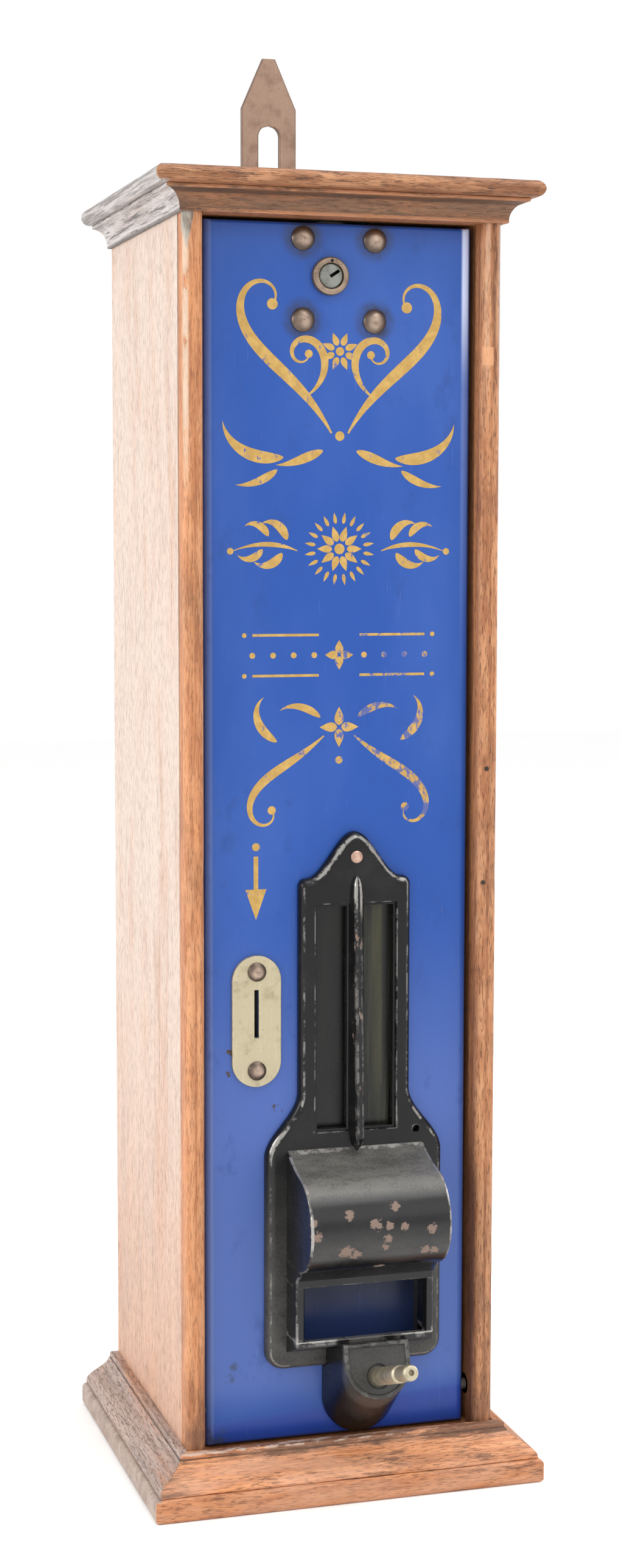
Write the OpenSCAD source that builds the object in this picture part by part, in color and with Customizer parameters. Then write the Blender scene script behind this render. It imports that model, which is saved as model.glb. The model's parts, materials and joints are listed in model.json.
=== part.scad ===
// Wall-hung gum vending machine in an oak case: a lockable steel front carries the coin slot,
// the window casting, the delivery hood and the push plunger that throws out the lowest pack.
// Origin: centre of the base's underside. +X is the viewer's right, the front looks along -Y.

/* [Case] */
// Width across the side boards
case_w = 138; // [132:1:180]
// Depth from the stile fronts to the wall
case_d = 138; // [128:1:190]
// Height of the top edge of the side boards
case_top = 551; // [545:1:640]
// Thickness of the side boards
board_t = 8.5; // [7.5:0.5:10]
// Thickness of the back board
back_t = 9; // [7:0.5:12]
// Rounding of the stiles' outer front edge
stile_outer_r = 3.5; // [1:0.5:5]
// Rounding of the stiles' inner front edge
stile_inner_r = 2.5; // [1:0.5:4]

/* [Base] */
// Height of the plinth board
plinth_h = 10; // [8:0.5:14]
// Overhang of the plinth past the case
base_over = 17.5; // [12:0.5:24]
// Height of the base moulding above the plinth
mould_h = 14; // [10:0.5:16]
// Ledge of the plinth outside the base moulding
plinth_ledge = 2; // [1:0.5:4]
// Flat ledge on top of the base moulding
mould_ledge = 4; // [2:0.5:6]
// Drop of the floor board below the top of the base moulding
floor_sink = 3; // [0:0.5:4]
// Rounding of the plinth's edges
plinth_r = 1.8; // [0.5:0.1:3]

/* [Cornice] */
// Height of the cornice moulding
cornice_h = 10; // [8:0.5:14]
// Overhang of the top board past the case
top_over = 14; // [10:0.5:20]
// Thickness of the top board
top_t = 7; // [5:0.5:10]
// Step from the top board's edge in to the cornice moulding
cornice_step = 5; // [3:0.5:8]
// Depth of the top rail behind the cornice
rail_d = 30; // [26:1:40]

/* [Hanger] */
// Sideways place of the hanger strip
hanger_x = 5; // [-10:0.5:10]
// Width of the hanger strip
hanger_w = 26; // [20:0.5:32]
// Thickness of the hanger strip
hanger_t = 2.5; // [1.5:0.25:4]
// Rise of the hanger's tip above the top board
hanger_rise = 71.6; // [60:0.2:90]
// Height of the pointed part of the hanger
hanger_point_h = 22.6; // [15:0.2:30]
// Width of the hanger's blunt tip
hanger_tip_w = 6; // [3:0.5:10]
// Width of the hanging slot
hang_slot_w = 10; // [7:0.5:13]
// Length of the hanging slot
hang_slot_l = 34; // [20:1:40]
// Distance from the slot's top to the hanger's tip
hang_slot_drop = 30.2; // [26:0.2:36]
// Length of hanger let into the back board
hanger_root = 70; // [50:1:100]

/* [Front panel] */
// Setback of the panel from the stile fronts
recess = 8; // [6:0.5:12]
// Gap between the panel and the stiles
side_gap = 2; // [1.5:0.1:2.5]
// Gap between the panel and the floor board
foot_gap = 1.2; // [1:0.1:2]
// Gap between the panel and the top rail
head_gap = 1.5; // [1:0.1:2.5]
// Thickness of the panel sheet
sheet_t = 1.2; // [0.8:0.1:1.6]
// Depth of the folded edges
fold_d = 10; // [9:0.5:12]
// Radius of the rolled side edges
roll_r = 4; // [2:0.5:5]
// Height of the tilting pivot above the floor board
pivot_rise = 16; // [15.6:0.1:18]
// Distance of the pivot behind the panel face
pivot_back = 5; // [4:0.1:6]
// Radius of the pivot pins
pivot_r = 2.5; // [2:0.1:3]
// Depth of the pivot bushes in the side boards
bush_l = 6; // [5:0.5:7]

/* [Lock] */
// Sideways place of the lock plug
lock_x = -4.6; // [-6:0.1:-3]
// Distance of the lock plug below the panel's top
lock_drop = 21.8; // [20:0.1:24]
// Radius of the lock plug
plug_r = 5; // [4.5:0.1:5.5]
// Outer radius of the lock ring
ring_r = 7.9; // [7:0.1:9]
// Height of the lock ring above the panel
ring_h = 3; // [2:0.1:4]
// Angle of the key slot from level
key_deg = 33; // [0:1:60]
// Width of the lock case
lock_case_w = 46; // [44:0.5:50]
// Height of the lock case
lock_case_h = 45; // [44:0.5:50]
// Depth of the lock case
lock_case_d = 12; // [11.5:0.1:14]
// Sideways place of the lock case
lock_case_x = -0.6; // [-2:0.1:0]
// Spacing of the lock screws across
lock_pitch_x = 31.3; // [30:0.1:34]
// Spacing of the lock screws up and down
lock_pitch_z = 33.3; // [30:0.1:35]
// Distance of the upper lock screws below the panel's top
lock_screw_drop = 6.6; // [6.4:0.1:8]
// Radius of the lock screw heads
lock_head_r = 5; // [4:0.1:5.2]
// Crank radius that lifts the lock bolt
cam_r = 5; // [4:0.1:5.2]

/* [Coin plate] */
// Diameter of the coin that works the machine
coin_d = 19.05; // [17:0.05:20]
// Thickness of that coin
coin_t = 1.5; // [1.2:0.05:1.8]
// Distance of the coin slot from the panel's left edge
coin_edge = 22; // [21:0.1:22.5]
// Height of the coin slot's middle above the base's underside
coin_z = 209; // [200:1:260]
// Width of the coin plate
coin_plate_w = 21.5; // [18:0.5:24]
// Height of the coin plate
coin_plate_h = 56.3; // [50:0.1:60]
// Thickness of the coin plate
coin_plate_t = 1.5; // [1:0.1:2.5]
// Distance of the slot's middle above the plate's middle
coin_slot_up = 3.2; // [0:0.1:4]
// Spacing of the coin plate screws
coin_screw_pitch = 42.4; // [38:0.1:46]
// Radius of the coin plate screw heads
coin_head_r = 4; // [3:0.1:4.5]

/* [Casting] */
// Sideways place of the casting's centre line
casting_x = 6.5; // [5.5:0.1:7.5]
// Half width of the upper plate
upper_half = 24.8; // [24:0.1:28]
// Half width of the lower flange
lower_half = 39.5; // [38:0.1:41]
// Height of the flange's lower edge
flange_z = 54; // [52:0.1:56]
// Corner radius of the flange
flange_r = 8; // [4:0.5:12]
// Height where the flange starts to narrow
flare_z0 = 146; // [140:1:150]
// Height where the flare meets the upper plate
flare_z1 = 174; // [165:1:185]
// Height of the upper plate's shoulders
shoulder_z = 266; // [262:1:285]
// Rise of the pediment above the shoulders
pediment_h = 19.5; // [10:0.5:30]
// Thickness of the casting's plate
plate_t = 5; // [4:0.25:6]
// Width of the bevel round the plate
bevel_w = 3.6; // [2:0.2:4]
// Height of the bevel's foot
bevel_foot = 1.6; // [0.8:0.1:3]
// Half width of the rib between the windows
rib_half = 3.75; // [3:0.05:4.5]
// Height of the rib over the plate at its upper end
rib_h = 3; // [2:0.25:6]
// Height of the rib over the plate at its lower end
rib_foot_h = 8; // [3:0.25:10]
// Distance of the windows' outer edges from the centre line
window_half = 17; // [15:0.25:19]
// Height of the windows' lower edge
window_z0 = 158; // [156:1:165]
// Height of the windows' upper edge
window_z1 = 254; // [230:1:258]
// Radius of the copper rivet
rivet_r = 2.6; // [2:0.1:3.5]
// Distance of the rivet below the pediment's tip
rivet_drop = 10.5; // [9:0.5:14]

/* [Hood and tray] */
// Half width of the hood and tray
hood_half = 30.8; // [30:0.1:33]
// Wall of the hood and tray
hood_wall = 2.5; // [2:0.1:3.2]
// Radius of the hood's round nose
nose_r = 20; // [18:0.25:22]
// Distance of the nose's centre in front of the panel
nose_out = 22.5; // [22:0.1:26]
// Height of the nose's centre
nose_z = 122.5; // [121:0.5:124]
// Radius of the cove from the nose up to the plate
cove_r = 62; // [56:1:70]
// Angle where the nose passes into the cove
nose_top_deg = 80; // [76:1:84]
// Angle of the hood's lip under the nose
nose_lip_deg = -80; // [-84:1:-70]
// Distance of the tray's front in front of the panel
tray_out = 19.5; // [18:0.25:21]
// Height of the tray's underside at its front
tray_z = 67.4; // [66.4:0.2:68]
// Height of the tray's underside at the plate
tray_back_z = 62; // [60:0.5:64]
// Height of the delivery opening's lower edge
mouth_z0 = 70.6; // [70:0.2:72]
// Height of the delivery opening's upper edge
mouth_z1 = 94; // [90:0.5:95]

/* [Boss and plunger] */
// Sideways place of the boss and plunger
boss_x = 9.5; // [8:0.1:11]
// Upward tilt of the plunger
plunger_deg = 20; // [18:0.5:22]
// Distance of the boss face in front of the panel at the plunger
boss_out = 29; // [28:0.1:30]
// Height of the plunger where it leaves the boss
boss_z = 56; // [55.5:0.1:57]
// Half width of the boss face
boss_half = 14.5; // [13:0.1:16]
// Height of the boss face above the plunger
boss_up = 14.4; // [13:0.1:15]
// Distance from the plunger to the boss's lower edge
boss_down = 9.5; // [9:0.1:10]
// Half width of the boss where it meets the panel
boss_foot_half = 16.5; // [15:0.1:18]
// Height of the boss's lowest point at the panel
boss_foot_z = 23.1; // [23:0.1:25]
// Depth of the boss's upright foot at the panel
boss_foot_d = 2; // [1.5:0.25:2.5]
// Wall of the hollow boss
boss_wall = 3.5; // [3:0.1:4]
// Radius of the plunger's stout part
plunger_r = 3.8; // [3.6:0.05:4.3]
// Radius of the plunger's button
button_r = 3.35; // [3:0.05:3.7]
// Length of the plunger's stout part outside the boss
plunger_out = 30; // [26:0.5:34]
// Length of the plunger's button
button_l = 15; // [10:0.5:18]
// Radius of the plunger's tail
tail_r = 2.2; // [1.9:0.05:2.3]
// Turns of the return spring
spring_turns = 7; // [5:1:9]
// Wire radius of the return spring
spring_wire_r = 0.5; // [0.4:0.05:0.6]

/* [Magazine] */
// Inner half width of the gum magazine
mag_half = 29; // [28:0.25:29.5]
// Distance of the magazine's back wall behind the panel face
mag_back = 25; // [24:0.25:25.5]
// Height of the magazine's floor
mag_z0 = 108; // [107:0.25:109]
// Height of the magazine's top
mag_z1 = 470; // [420:1:480]
// Sheet thickness of the magazine
mag_t = 1; // [0.8:0.1:1.2]
// Height of a gum pack
pack_h = 8; // [6:0.5:9]
// Height of the follower weight
follower_h = 22; // [16:1:30]

/* [Mechanism] */
// Distance of the rocker shaft behind the panel face
shaft_back = 38; // [37.5:0.1:39]
// Height of the rocker shaft
shaft_z = 72.5; // [72:0.1:73]
// Radius of the rocker shaft
shaft_r = 3; // [2.5:0.1:3.5]
// Length of the ejector arm above the shaft
eject_l = 40.5; // [40:0.1:41]
// Length of the coin paddle below the shaft
paddle_l = 34; // [32:0.25:35]
// Swing of the rocker
rocker_deg = 29; // [26:0.5:30]
// Sheet thickness of the mechanism frame
frame_t = 1.5; // [1.2:0.1:2]
// Height of the mechanism frame's lower edge
frame_z0 = 62; // [61:0.5:64]
// Height of the mechanism frame's plate
frame_h = 36; // [30:0.5:38]
// Height of the mechanism frame's cheeks
cheek_h = 22; // [20:0.5:26]
// Reach of the mechanism frame's cheeks behind the shaft
cheek_past = 10; // [6:0.5:12]
// Gap between the coin chute and the mechanism frame
chute_frame_gap = 2.8; // [2:0.1:3.5]
// Distance of the mechanism frame's right cheek from the casting's centre line
frame_right = 37.5; // [36:0.5:40]

/* [Cash tray] */
// Gap between the cash tray and the side boards
cash_gap = 6.5; // [4:0.5:16]
// Height of the cash tray's side walls
cash_h = 26; // [15:1:40]
// Height of the cash tray's front lip
cash_lip = 5; // [3:0.25:5]
// Distance of the cash tray behind the panel face
cash_back = 32; // [31:0.5:40]
// Sheet thickness of the cash tray
cash_t = 1; // [0.8:0.1:1.5]

/* [Stops] */
// Width of the stop blocks
stop_w = 6; // [4:0.5:8]
// Depth of the stop blocks
stop_d = 10; // [6:0.5:20]
// Height of the stop blocks
stop_l = 20; // [10:1:40]
// Distance of the stop blocks' feet below the top rail
stop_drop = 111; // [60:1:200]

/* [Clearances] */
// Radial running clearance of pins and shafts
run_c = 0.05; // [0.02:0.01:0.1]
// Clearance between sliding faces
slide_c = 0.3; // [0.25:0.05:0.4]
// Clearance of screws in their holes
hole_c = 0.1; // [0.05:0.05:0.2]

/* [Hidden] */
$fn = 48;
corner_steps = 6;
curve_steps = 16;
big = 400;
eps = 0.01;

oak = "#b06a3a";
blue = "#4461b2";
black_paint = "#2b2b2c";
steel = "#8c8178";
brass = "#b39a62";
nickel_brass = "#c9bd95";
tin = "#8f8f86";
copper = "#c09880";

// Places along the depth and height of the case
base_d = case_d + base_over;
y_back = base_d / 2;
y_front = y_back - case_d;
panel_y = y_front + recess;
in_half = case_w / 2 - board_t;
mould_z = plinth_h + mould_h;
floor_z = mould_z - floor_sink;
rail_z = case_top - cornice_h;
total_z = case_top + top_t;
back_y = y_back - back_t;

// Front panel
panel_w = 2 * (in_half - side_gap);
panel_z0 = floor_z + foot_gap;
panel_z1 = rail_z - head_gap;
pivot_y = panel_y + pivot_back;
pivot_z = floor_z + pivot_rise;
bush_r = pivot_r + 2;

// Lock
lock_z = panel_z1 - lock_drop;
lock_screw_z = panel_z1 - lock_screw_drop - lock_pitch_z / 2;
lock_case_z1 = panel_z1 - sheet_t - slide_c;
lock_case_z0 = lock_case_z1 - lock_case_h;
lock_wall = 2;
lock_screw_r = 2.4;
cam_half_deg = 45;
cam_pin_r = 1.5;
bolt_w = 10;
bolt_t = 2.8;
bolt_low = 12;
bolt_head_gap = 1;
plug_back = lock_case_d - 4;
bolt_back = plug_back + 0.4;
lock_cavity_half = 11.8;
strike_t = 1.2;
strike_w = 30;
strike_l = 14;
strike_deep = 8;

// Coin path
coin_x = coin_edge - panel_w / 2;
coin_plate_z = coin_z - coin_slot_up;
coin_slot_h = coin_d + coin_t;
coin_slot_w = coin_t + 0.5;
chute_gap = coin_t + 0.9;
chute_wall = 1;
chute_front = 9.3;
chute_back = chute_front + coin_d + 1.5;
chute_top = coin_z + coin_slot_h / 2 + 3;
chute_low = 58;
chute_shelf_z = 31.3;
chute_shelf_end = 33;
chute_shelf_t = 1.2;
chute_curb_h = 6.5;
chute_notch_back = 29.5;
chute_tail = 3;
blade_t = coin_t + 0.1;

// Casting and hood, with the curve of the hood worked out from its nose and cove circles
rivet_z = shoulder_z + pediment_h - rivet_drop;
shoulder_r = bevel_w + 0.4;
window_step = 1.2;
window_step_d = 1.5;
delivery_z1 = 143;
exit_z0 = mag_z0 - 1;
exit_z1 = mag_z0 + pack_h + 5;
cove_c = [nose_out + (nose_r + cove_r) * cos(nose_top_deg), nose_z + (nose_r + cove_r) * sin(nose_top_deg)];
cove_end_deg = 180 + acos((cove_c[0] - plate_t) / cove_r);
lost_screw = [27.6, 156];
screw_r = 1.6;
screw_head_r = 3;
screw_head_h = 2.5;
screw_low_z = frame_z0 + (cheek_h + frame_h) / 2;
screw_high_z = 149;
screw_side = mag_half + mag_t + screw_head_r + slide_c;

// Plunger, measured along its own axis from the boss face
panel_reach = boss_out / cos(plunger_deg);
shoulder_in = 8;
hub_r = 6;
hub_l = 7;
hub_in = panel_reach + (sheet_t + slide_c + 0.2) / cos(plunger_deg) + hub_r * tan(plunger_deg);
tail_in = hub_in + hub_l + 2;
bush_plate_r = plunger_r + 1.3;
bush_front = 1.5;
bush_back = 7.5;
bar_low = 3;
bar_high = 7.5;
bar_t = 4;
finger_low = -4.4;
spring_r = plunger_r - spring_wire_r - 0.2;
spring_end = panel_reach - (spring_r + spring_wire_r) * tan(plunger_deg) - slide_c;

// Magazine, pusher and rocker
rest_deg = -rocker_deg / 2;
pusher_half = 15;
pusher_t = 4;
pusher_z = mag_z0 + mag_t + slide_c;
pusher_front = mag_back + mag_t + slide_c;
eject_y = shaft_back - eject_l * sin(rest_deg);
tip_r = 3;
arm_w = 5;
arm_t = 6;
arm_top = shaft_z + eject_l + tip_r;
pusher_back = eject_y + tip_r + 3.5;
runway_back = pusher_back + 2;
runway_half = pusher_half + slide_c + mag_t;
follower_z = arm_top + 2;
follower_pin_r = 1.5;
follower_y = (mag_back + 4.4) / 2;
follower_d = 19;
slot_z1 = mag_z1 - 30;
ear_w = 8;
ear_h = 12;
ear_z = [mag_z0 + 22, mag_z1 - 30];
glass_t = 2;
glass_half = mag_half - 5;
clip_t = 1;
clip_l = 10;
clip_lap = 2.5;
clip_in = 8;
frame_x = [coin_x + chute_gap / 2 + chute_wall + chute_frame_gap, casting_x + frame_right];
frame_z = [frame_z0, frame_z0 + frame_h];
cheek_z1 = frame_z0 + cheek_h;
shaft_over = 3;
shaft_x = [coin_x - shaft_over, frame_x[1] + shaft_over];
sleeve_r = 5;
stop_z = rail_z - stop_drop;

function arc(c, r, a0, a1, n = curve_steps) =
    [for (i = [0:n]) let(a = a0 + (a1 - a0) * i / n) [c[0] + r * cos(a), c[1] + r * sin(a)]];

// Rectangle with its corners rounded, radii given from the lower left corner round to the upper left
function round_rect(x0, x1, y0, y1, r) = concat(
    arc([x0 + r[0], y0 + r[0]], r[0], 180, 270, corner_steps),
    arc([x1 - r[1], y0 + r[1]], r[1], 270, 360, corner_steps),
    arc([x1 - r[2], y1 - r[2]], r[2], 0, 90, corner_steps),
    arc([x0 + r[3], y1 - r[3]], r[3], 90, 180, corner_steps));

function unit(v) = v / norm(v);
function outward(a, b) = unit([b[1] - a[1], a[0] - b[0]]);

// Closed outline moved inwards by d, each corner along its mitre
function inset(pts, d) = let(n = len(pts)) [for (i = [0:n - 1])
    let(e0 = outward(pts[(i + n - 1) % n], pts[i]))
    let(e1 = outward(pts[i], pts[(i + 1) % n]))
    let(m = unit(e0 + e1))
    pts[i] - m * d / (m * e0)];

// Solid through a stack of rings that have the same number of points
module loft(rings) {
    n = len(rings[0]);
    top = len(rings) - 1;
    sides = [for (k = [0:top - 1]) for (i = [0:n - 1]) let(j = (i + 1) % n)
        each [[k * n + i, (k + 1) * n + i, (k + 1) * n + j], [k * n + i, (k + 1) * n + j, k * n + j]]];
    caps = [[for (i = [0:n - 1]) i], [for (i = [n - 1:-1:0]) top * n + i]];
    polyhedron([for (r = rings) each r], concat(sides, caps));
}

// Box between two corners given axis by axis
module span(x, y, z) {
    translate([x[0], y[0], z[0]]) cube([x[1] - x[0], y[1] - y[0], z[1] - z[0]]);
}

// Drawing in depth and height, carried across from x0 to x1
module across(x0, x1) {
    translate([x0, 0, 0]) rotate([90, 0, 90]) linear_extrude(x1 - x0) children();
}

// Drawing in width and height, carried back from y0 to y1
module back_from(y0, y1) {
    translate([0, y1, 0]) rotate([90, 0, 0]) linear_extrude(y1 - y0) children();
}

// Frame on the panel's face: x right, y up, z out of the panel
module on_panel() {
    translate([0, panel_y, 0]) rotate([90, 0, 0]) children();
}

// Frame on the boss face: z out along the plunger, y up along the face
module on_plunger() {
    translate([boss_x, panel_y - boss_out, boss_z]) rotate([90 - plunger_deg, 0, 0]) children();
}

// Screw with a domed head, slotted where an angle is given: its seat is at z = 0, its shank points down
module dome_screw(head_r, head_h, shank_r, shank_l, slot_deg = undef) {
    ball_r = (head_r * head_r + head_h * head_h) / (2 * head_h);
    slot_w = head_r / 4;
    difference() {
        rotate_extrude() intersection() {
            translate([0, head_h - ball_r]) circle(ball_r);
            square([head_r, head_h]);
        }
        if (!is_undef(slot_deg)) rotate(slot_deg)
            span([-head_r, head_r], [-slot_w / 2, slot_w / 2], [head_h * 0.65, head_h + 1]);
    }
    translate([0, 0, -shank_l]) cylinder(r = shank_r, h = shank_l + head_h / 4);
}

// Base

// Plinth board with its front and side edges rounded
module base_plinth() color(oak) {
    half = case_w / 2 + base_over;
    r = plinth_r;
    intersection() {
        across(-half, half) polygon(round_rect(-y_back, y_back, 0, plinth_h, [r, eps, eps, r]));
        back_from(-y_back, y_back) polygon(round_rect(-half, half, 0, plinth_h, [r, r, r, r]));
    }
}

// Ogee section of the base moulding: distance out from the case, height
function base_section() = let(out = base_over - plinth_ledge, z0 = plinth_h, z1 = mould_z,
    foot = 1.5, fillet = 2.5)
    concat([[0, z0], [out, z0]],
        [for (i = [0:curve_steps]) let(t = i / curve_steps)
            [mould_ledge + (out - mould_ledge) * (1 + cos(180 * t)) / 2,
                z0 + foot + (z1 - fillet - z0 - foot) * t]],
        [[mould_ledge, z1], [0, z1]]);

// Cove section of the cornice: distance out from the case, height
function cornice_section() = let(out = top_over - cornice_step, lip = 2, lip_h = 1.2, fillet = 1.5)
    concat([[0, rail_z], [lip, rail_z]],
        [for (i = [0:curve_steps]) let(a = 90 * i / curve_steps)
            [out - (out - lip) * cos(a), rail_z + lip_h + (cornice_h - lip_h - fillet) * sin(a)]],
        [[out, case_top], [0, case_top]]);

// Moulding across the case front, mitred at both ends
module moulding_front(section, out) {
    half = case_w / 2;
    intersection() {
        across(-half - out, half + out) polygon([for (p = section) [y_front - p[0], p[1]]]);
        linear_extrude(2 * big) polygon([[-half, y_front], [half, y_front],
            [half + out, y_front - out], [-half - out, y_front - out]]);
    }
}

// Moulding along one side of the case (side is -1 or 1), mitred at the front
module moulding_side(section, out, side) {
    half = case_w / 2;
    intersection() {
        back_from(y_front - out, y_back) polygon([for (p = section) [side * (half + p[0]), p[1]]]);
        linear_extrude(2 * big) polygon([[side * half, y_front], [side * (half + out), y_front - out],
            [side * (half + out), y_back], [side * half, y_back]]);
    }
}

module base_moulding_front() color(oak) moulding_front(base_section(), base_over);
module base_moulding_left() color(oak) moulding_side(base_section(), base_over, -1);
module base_moulding_right() color(oak) moulding_side(base_section(), base_over, 1);

// Case

module floor_board() color(oak) span([-in_half, in_half], [y_front, back_y], [plinth_h, floor_z]);

// Side board, its front edge rounded as a stile, bored for the pivot bush
module side_board(side) color(oak) difference() {
    translate([0, 0, plinth_h]) linear_extrude(case_top - plinth_h) scale_x(side)
        polygon(round_rect(in_half, case_w / 2, y_front, y_back, [stile_inner_r, stile_outer_r, eps, eps]));
    translate([side * (in_half + bush_l / 2), pivot_y, pivot_z]) rotate([0, 90, 0])
        cylinder(r = bush_r, h = bush_l, center = true);
}

// Left and right copies of a drawing
module scale_x(side) {
    if (side > 0) children();
    else mirror([1, 0]) children();
}

module side_board_left() side_board(-1);
module side_board_right() side_board(1);

// Back board with a groove for the hanger strip
module back_board() color(oak) difference() {
    span([-in_half, in_half], [back_y, y_back], [plinth_h, case_top]);
    hanger_bed(0);
    hanger_holes(screw_r + hole_c);
}

// Room for the hanger strip in the back board and top board
module hanger_bed(c) {
    span([hanger_x - hanger_w / 2 - c, hanger_x + hanger_w / 2 + c], [y_back - hanger_t, y_back + 1],
        [total_z - hanger_root, total_z + 1]);
}

hanger_screw_z = [for (k = [1:3]) total_z - hanger_root + 12 * k];

module hanger_holes(r) {
    for (z = hanger_screw_z) translate([hanger_x, y_back - hanger_t - 5, z]) rotate([-90, 0, 0])
        cylinder(r = r, h = hanger_t + 6);
}

module top_rail() color(oak) difference() {
    span([-in_half, in_half], [y_front, y_front + rail_d], [rail_z, case_top]);
    strike_room(strike_w, strike_l, strike_t);
    bolt_way(strike_deep);
    strike_holes(screw_r + hole_c);
}

strike_x = lock_x + cam_r * cos(cam_half_deg);
strike_y = panel_y + bolt_back + bolt_t / 2;
strike_pitch = strike_w - 9;

module strike_room(w, l, h) {
    span([strike_x - w / 2, strike_x + w / 2], [strike_y - l / 2, strike_y + l / 2], [rail_z, rail_z + h]);
}

// Way for the lock bolt up through the strike plate
module bolt_way(deep) {
    span([strike_x - bolt_w / 2 - 1, strike_x + bolt_w / 2 + 1],
        [strike_y - bolt_t / 2 - 0.8, strike_y + bolt_t / 2 + 0.8], [rail_z - 1, rail_z + deep]);
}

module strike_holes(r) {
    for (s = [-1, 1]) translate([strike_x + s * strike_pitch / 2, strike_y, rail_z - 1])
        cylinder(r = r, h = strike_t + 6);
}

module strike_plate() color(steel) difference() {
    strike_room(strike_w, strike_l, strike_t);
    bolt_way(strike_deep);
    strike_holes(screw_r + hole_c);
    strike_sinks(hole_c);
}

// Countersinks and the matching flat heads of the strike screws
module strike_sinks(c) {
    for (s = [-1, 1]) translate([strike_x + s * strike_pitch / 2, strike_y, rail_z])
        cylinder(r1 = screw_head_r + c, r2 = screw_r + c, h = strike_t);
}

module strike_screws() color(steel) {
    strike_sinks(0);
    for (s = [-1, 1]) translate([strike_x + s * strike_pitch / 2, strike_y, rail_z + strike_t - eps])
        cylinder(r = screw_r, h = 4.5);
}

// Top board with a bullnose on its front and side edges
module top_board() color(oak) {
    half = case_w / 2 + top_over;
    r = top_t / 2 - eps;
    difference() {
        intersection() {
            across(-half, half)
                polygon(round_rect(y_front - top_over, y_back, case_top, total_z, [r, eps, eps, r]));
            back_from(-big, y_back) polygon(round_rect(-half, half, case_top, total_z, [r, r, r, r]));
        }
        hanger_bed(0);
    }
}

module cornice_front() color(oak) moulding_front(cornice_section(), top_over);
module cornice_left() color(oak) moulding_side(cornice_section(), top_over, -1);
module cornice_right() color(oak) moulding_side(cornice_section(), top_over, 1);

// Hanger strip with a blunt point and a slot with round ends
module hanger_strip() color(steel) {
    z1 = total_z + hanger_rise;
    slot_z1 = z1 - hang_slot_drop - hang_slot_w / 2;
    slot_z0 = slot_z1 - hang_slot_l + hang_slot_w;
    half = hanger_w / 2;
    difference() {
        back_from(y_back - hanger_t, y_back) translate([hanger_x, 0]) difference() {
            polygon([[-half, total_z - hanger_root], [half, total_z - hanger_root],
                [half, z1 - hanger_point_h], [hanger_tip_w / 2, z1],
                [-hanger_tip_w / 2, z1], [-half, z1 - hanger_point_h]]);
            translate([-hang_slot_w / 2, slot_z0]) square([hang_slot_w, slot_z1 - slot_z0]);
            for (z = [slot_z0, slot_z1]) translate([0, z]) circle(hang_slot_w / 2);
        }
        hanger_holes(screw_r + hole_c);
        hanger_sinks(hole_c);
    }
}

// Countersinks and the matching flat heads of the hanger screws
module hanger_sinks(c) {
    for (z = hanger_screw_z) translate([hanger_x, y_back - hanger_t, z]) rotate([-90, 0, 0])
        cylinder(r1 = screw_r + c, r2 = screw_head_r + c, h = hanger_t);
}

module hanger_screws() color(steel) {
    hanger_sinks(0);
    for (z = hanger_screw_z) translate([hanger_x, y_back - hanger_t - 5, z]) rotate([-90, 0, 0])
        cylinder(r = screw_r, h = 5 + eps);
}

// Flanged sleeves let into the side boards for the pivot pins
module pivot_bushes() color(brass) {
    for (s = [-1, 1])
        translate([s * (in_half + bush_l / 2), pivot_y, pivot_z]) rotate([0, 90, 0]) difference() {
            cylinder(r = bush_r, h = bush_l, center = true);
            cylinder(r = pivot_r + run_c, h = bush_l + 1, center = true);
        }
}

// Blocks on the side boards that the closed front rests against
module stop_blocks() color(oak) {
    for (s = [-1, 1]) translate([s * (in_half - stop_w / 2), panel_y + fold_d + slide_c, stop_z])
        span([-stop_w / 2, stop_w / 2], [0, stop_d], [0, stop_l]);
}

// Tin tray that catches the coins, low at the front
module cash_tray() color(tin) {
    y0 = panel_y + cash_back;
    y1 = back_y - 3;
    cash_half = in_half - cash_gap;
    difference() {
        across(-cash_half, cash_half) polygon([[y0, floor_z], [y1, floor_z], [y1, floor_z + cash_h],
            [y0 + 30, floor_z + cash_h], [y0, floor_z + cash_lip]]);
        span([-cash_half + cash_t, cash_half - cash_t], [y0 + cash_t, y1 - cash_t],
            [floor_z + cash_t, floor_z + big]);
    }
}

// Front panel

// Section of the panel or of its inside: rolled front corners, square at the back
module panel_outline(w, y0, y1, r) {
    polygon(round_rect(-w / 2, w / 2, y0, y1, [r, r, eps, eps]));
}

module front_panel() color(blue) difference() {
    union() {
        translate([0, panel_y, panel_z0]) linear_extrude(panel_z1 - panel_z0) difference() {
            panel_outline(panel_w, 0, fold_d, roll_r);
            panel_outline(panel_w - 2 * sheet_t, sheet_t, fold_d + 1, roll_r - sheet_t);
        }
        for (z = [panel_z0, panel_z1 - sheet_t]) translate([0, panel_y, z]) linear_extrude(sheet_t)
            panel_outline(panel_w, 0, fold_d, roll_r);
    }
    on_panel() panel_holes();
    span([strike_x - bolt_w / 2 - 1, strike_x + bolt_w / 2 + 1],
        [panel_y + bolt_back - 0.8, panel_y + fold_d + 1], [panel_z1 - 2 * sheet_t, panel_z1 + 1]);
    for (s = [-1, 1]) translate([s * panel_w / 2, pivot_y, pivot_z]) rotate([0, 90, 0])
        cylinder(r = pivot_r, h = 4 * sheet_t, center = true);
}

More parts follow.
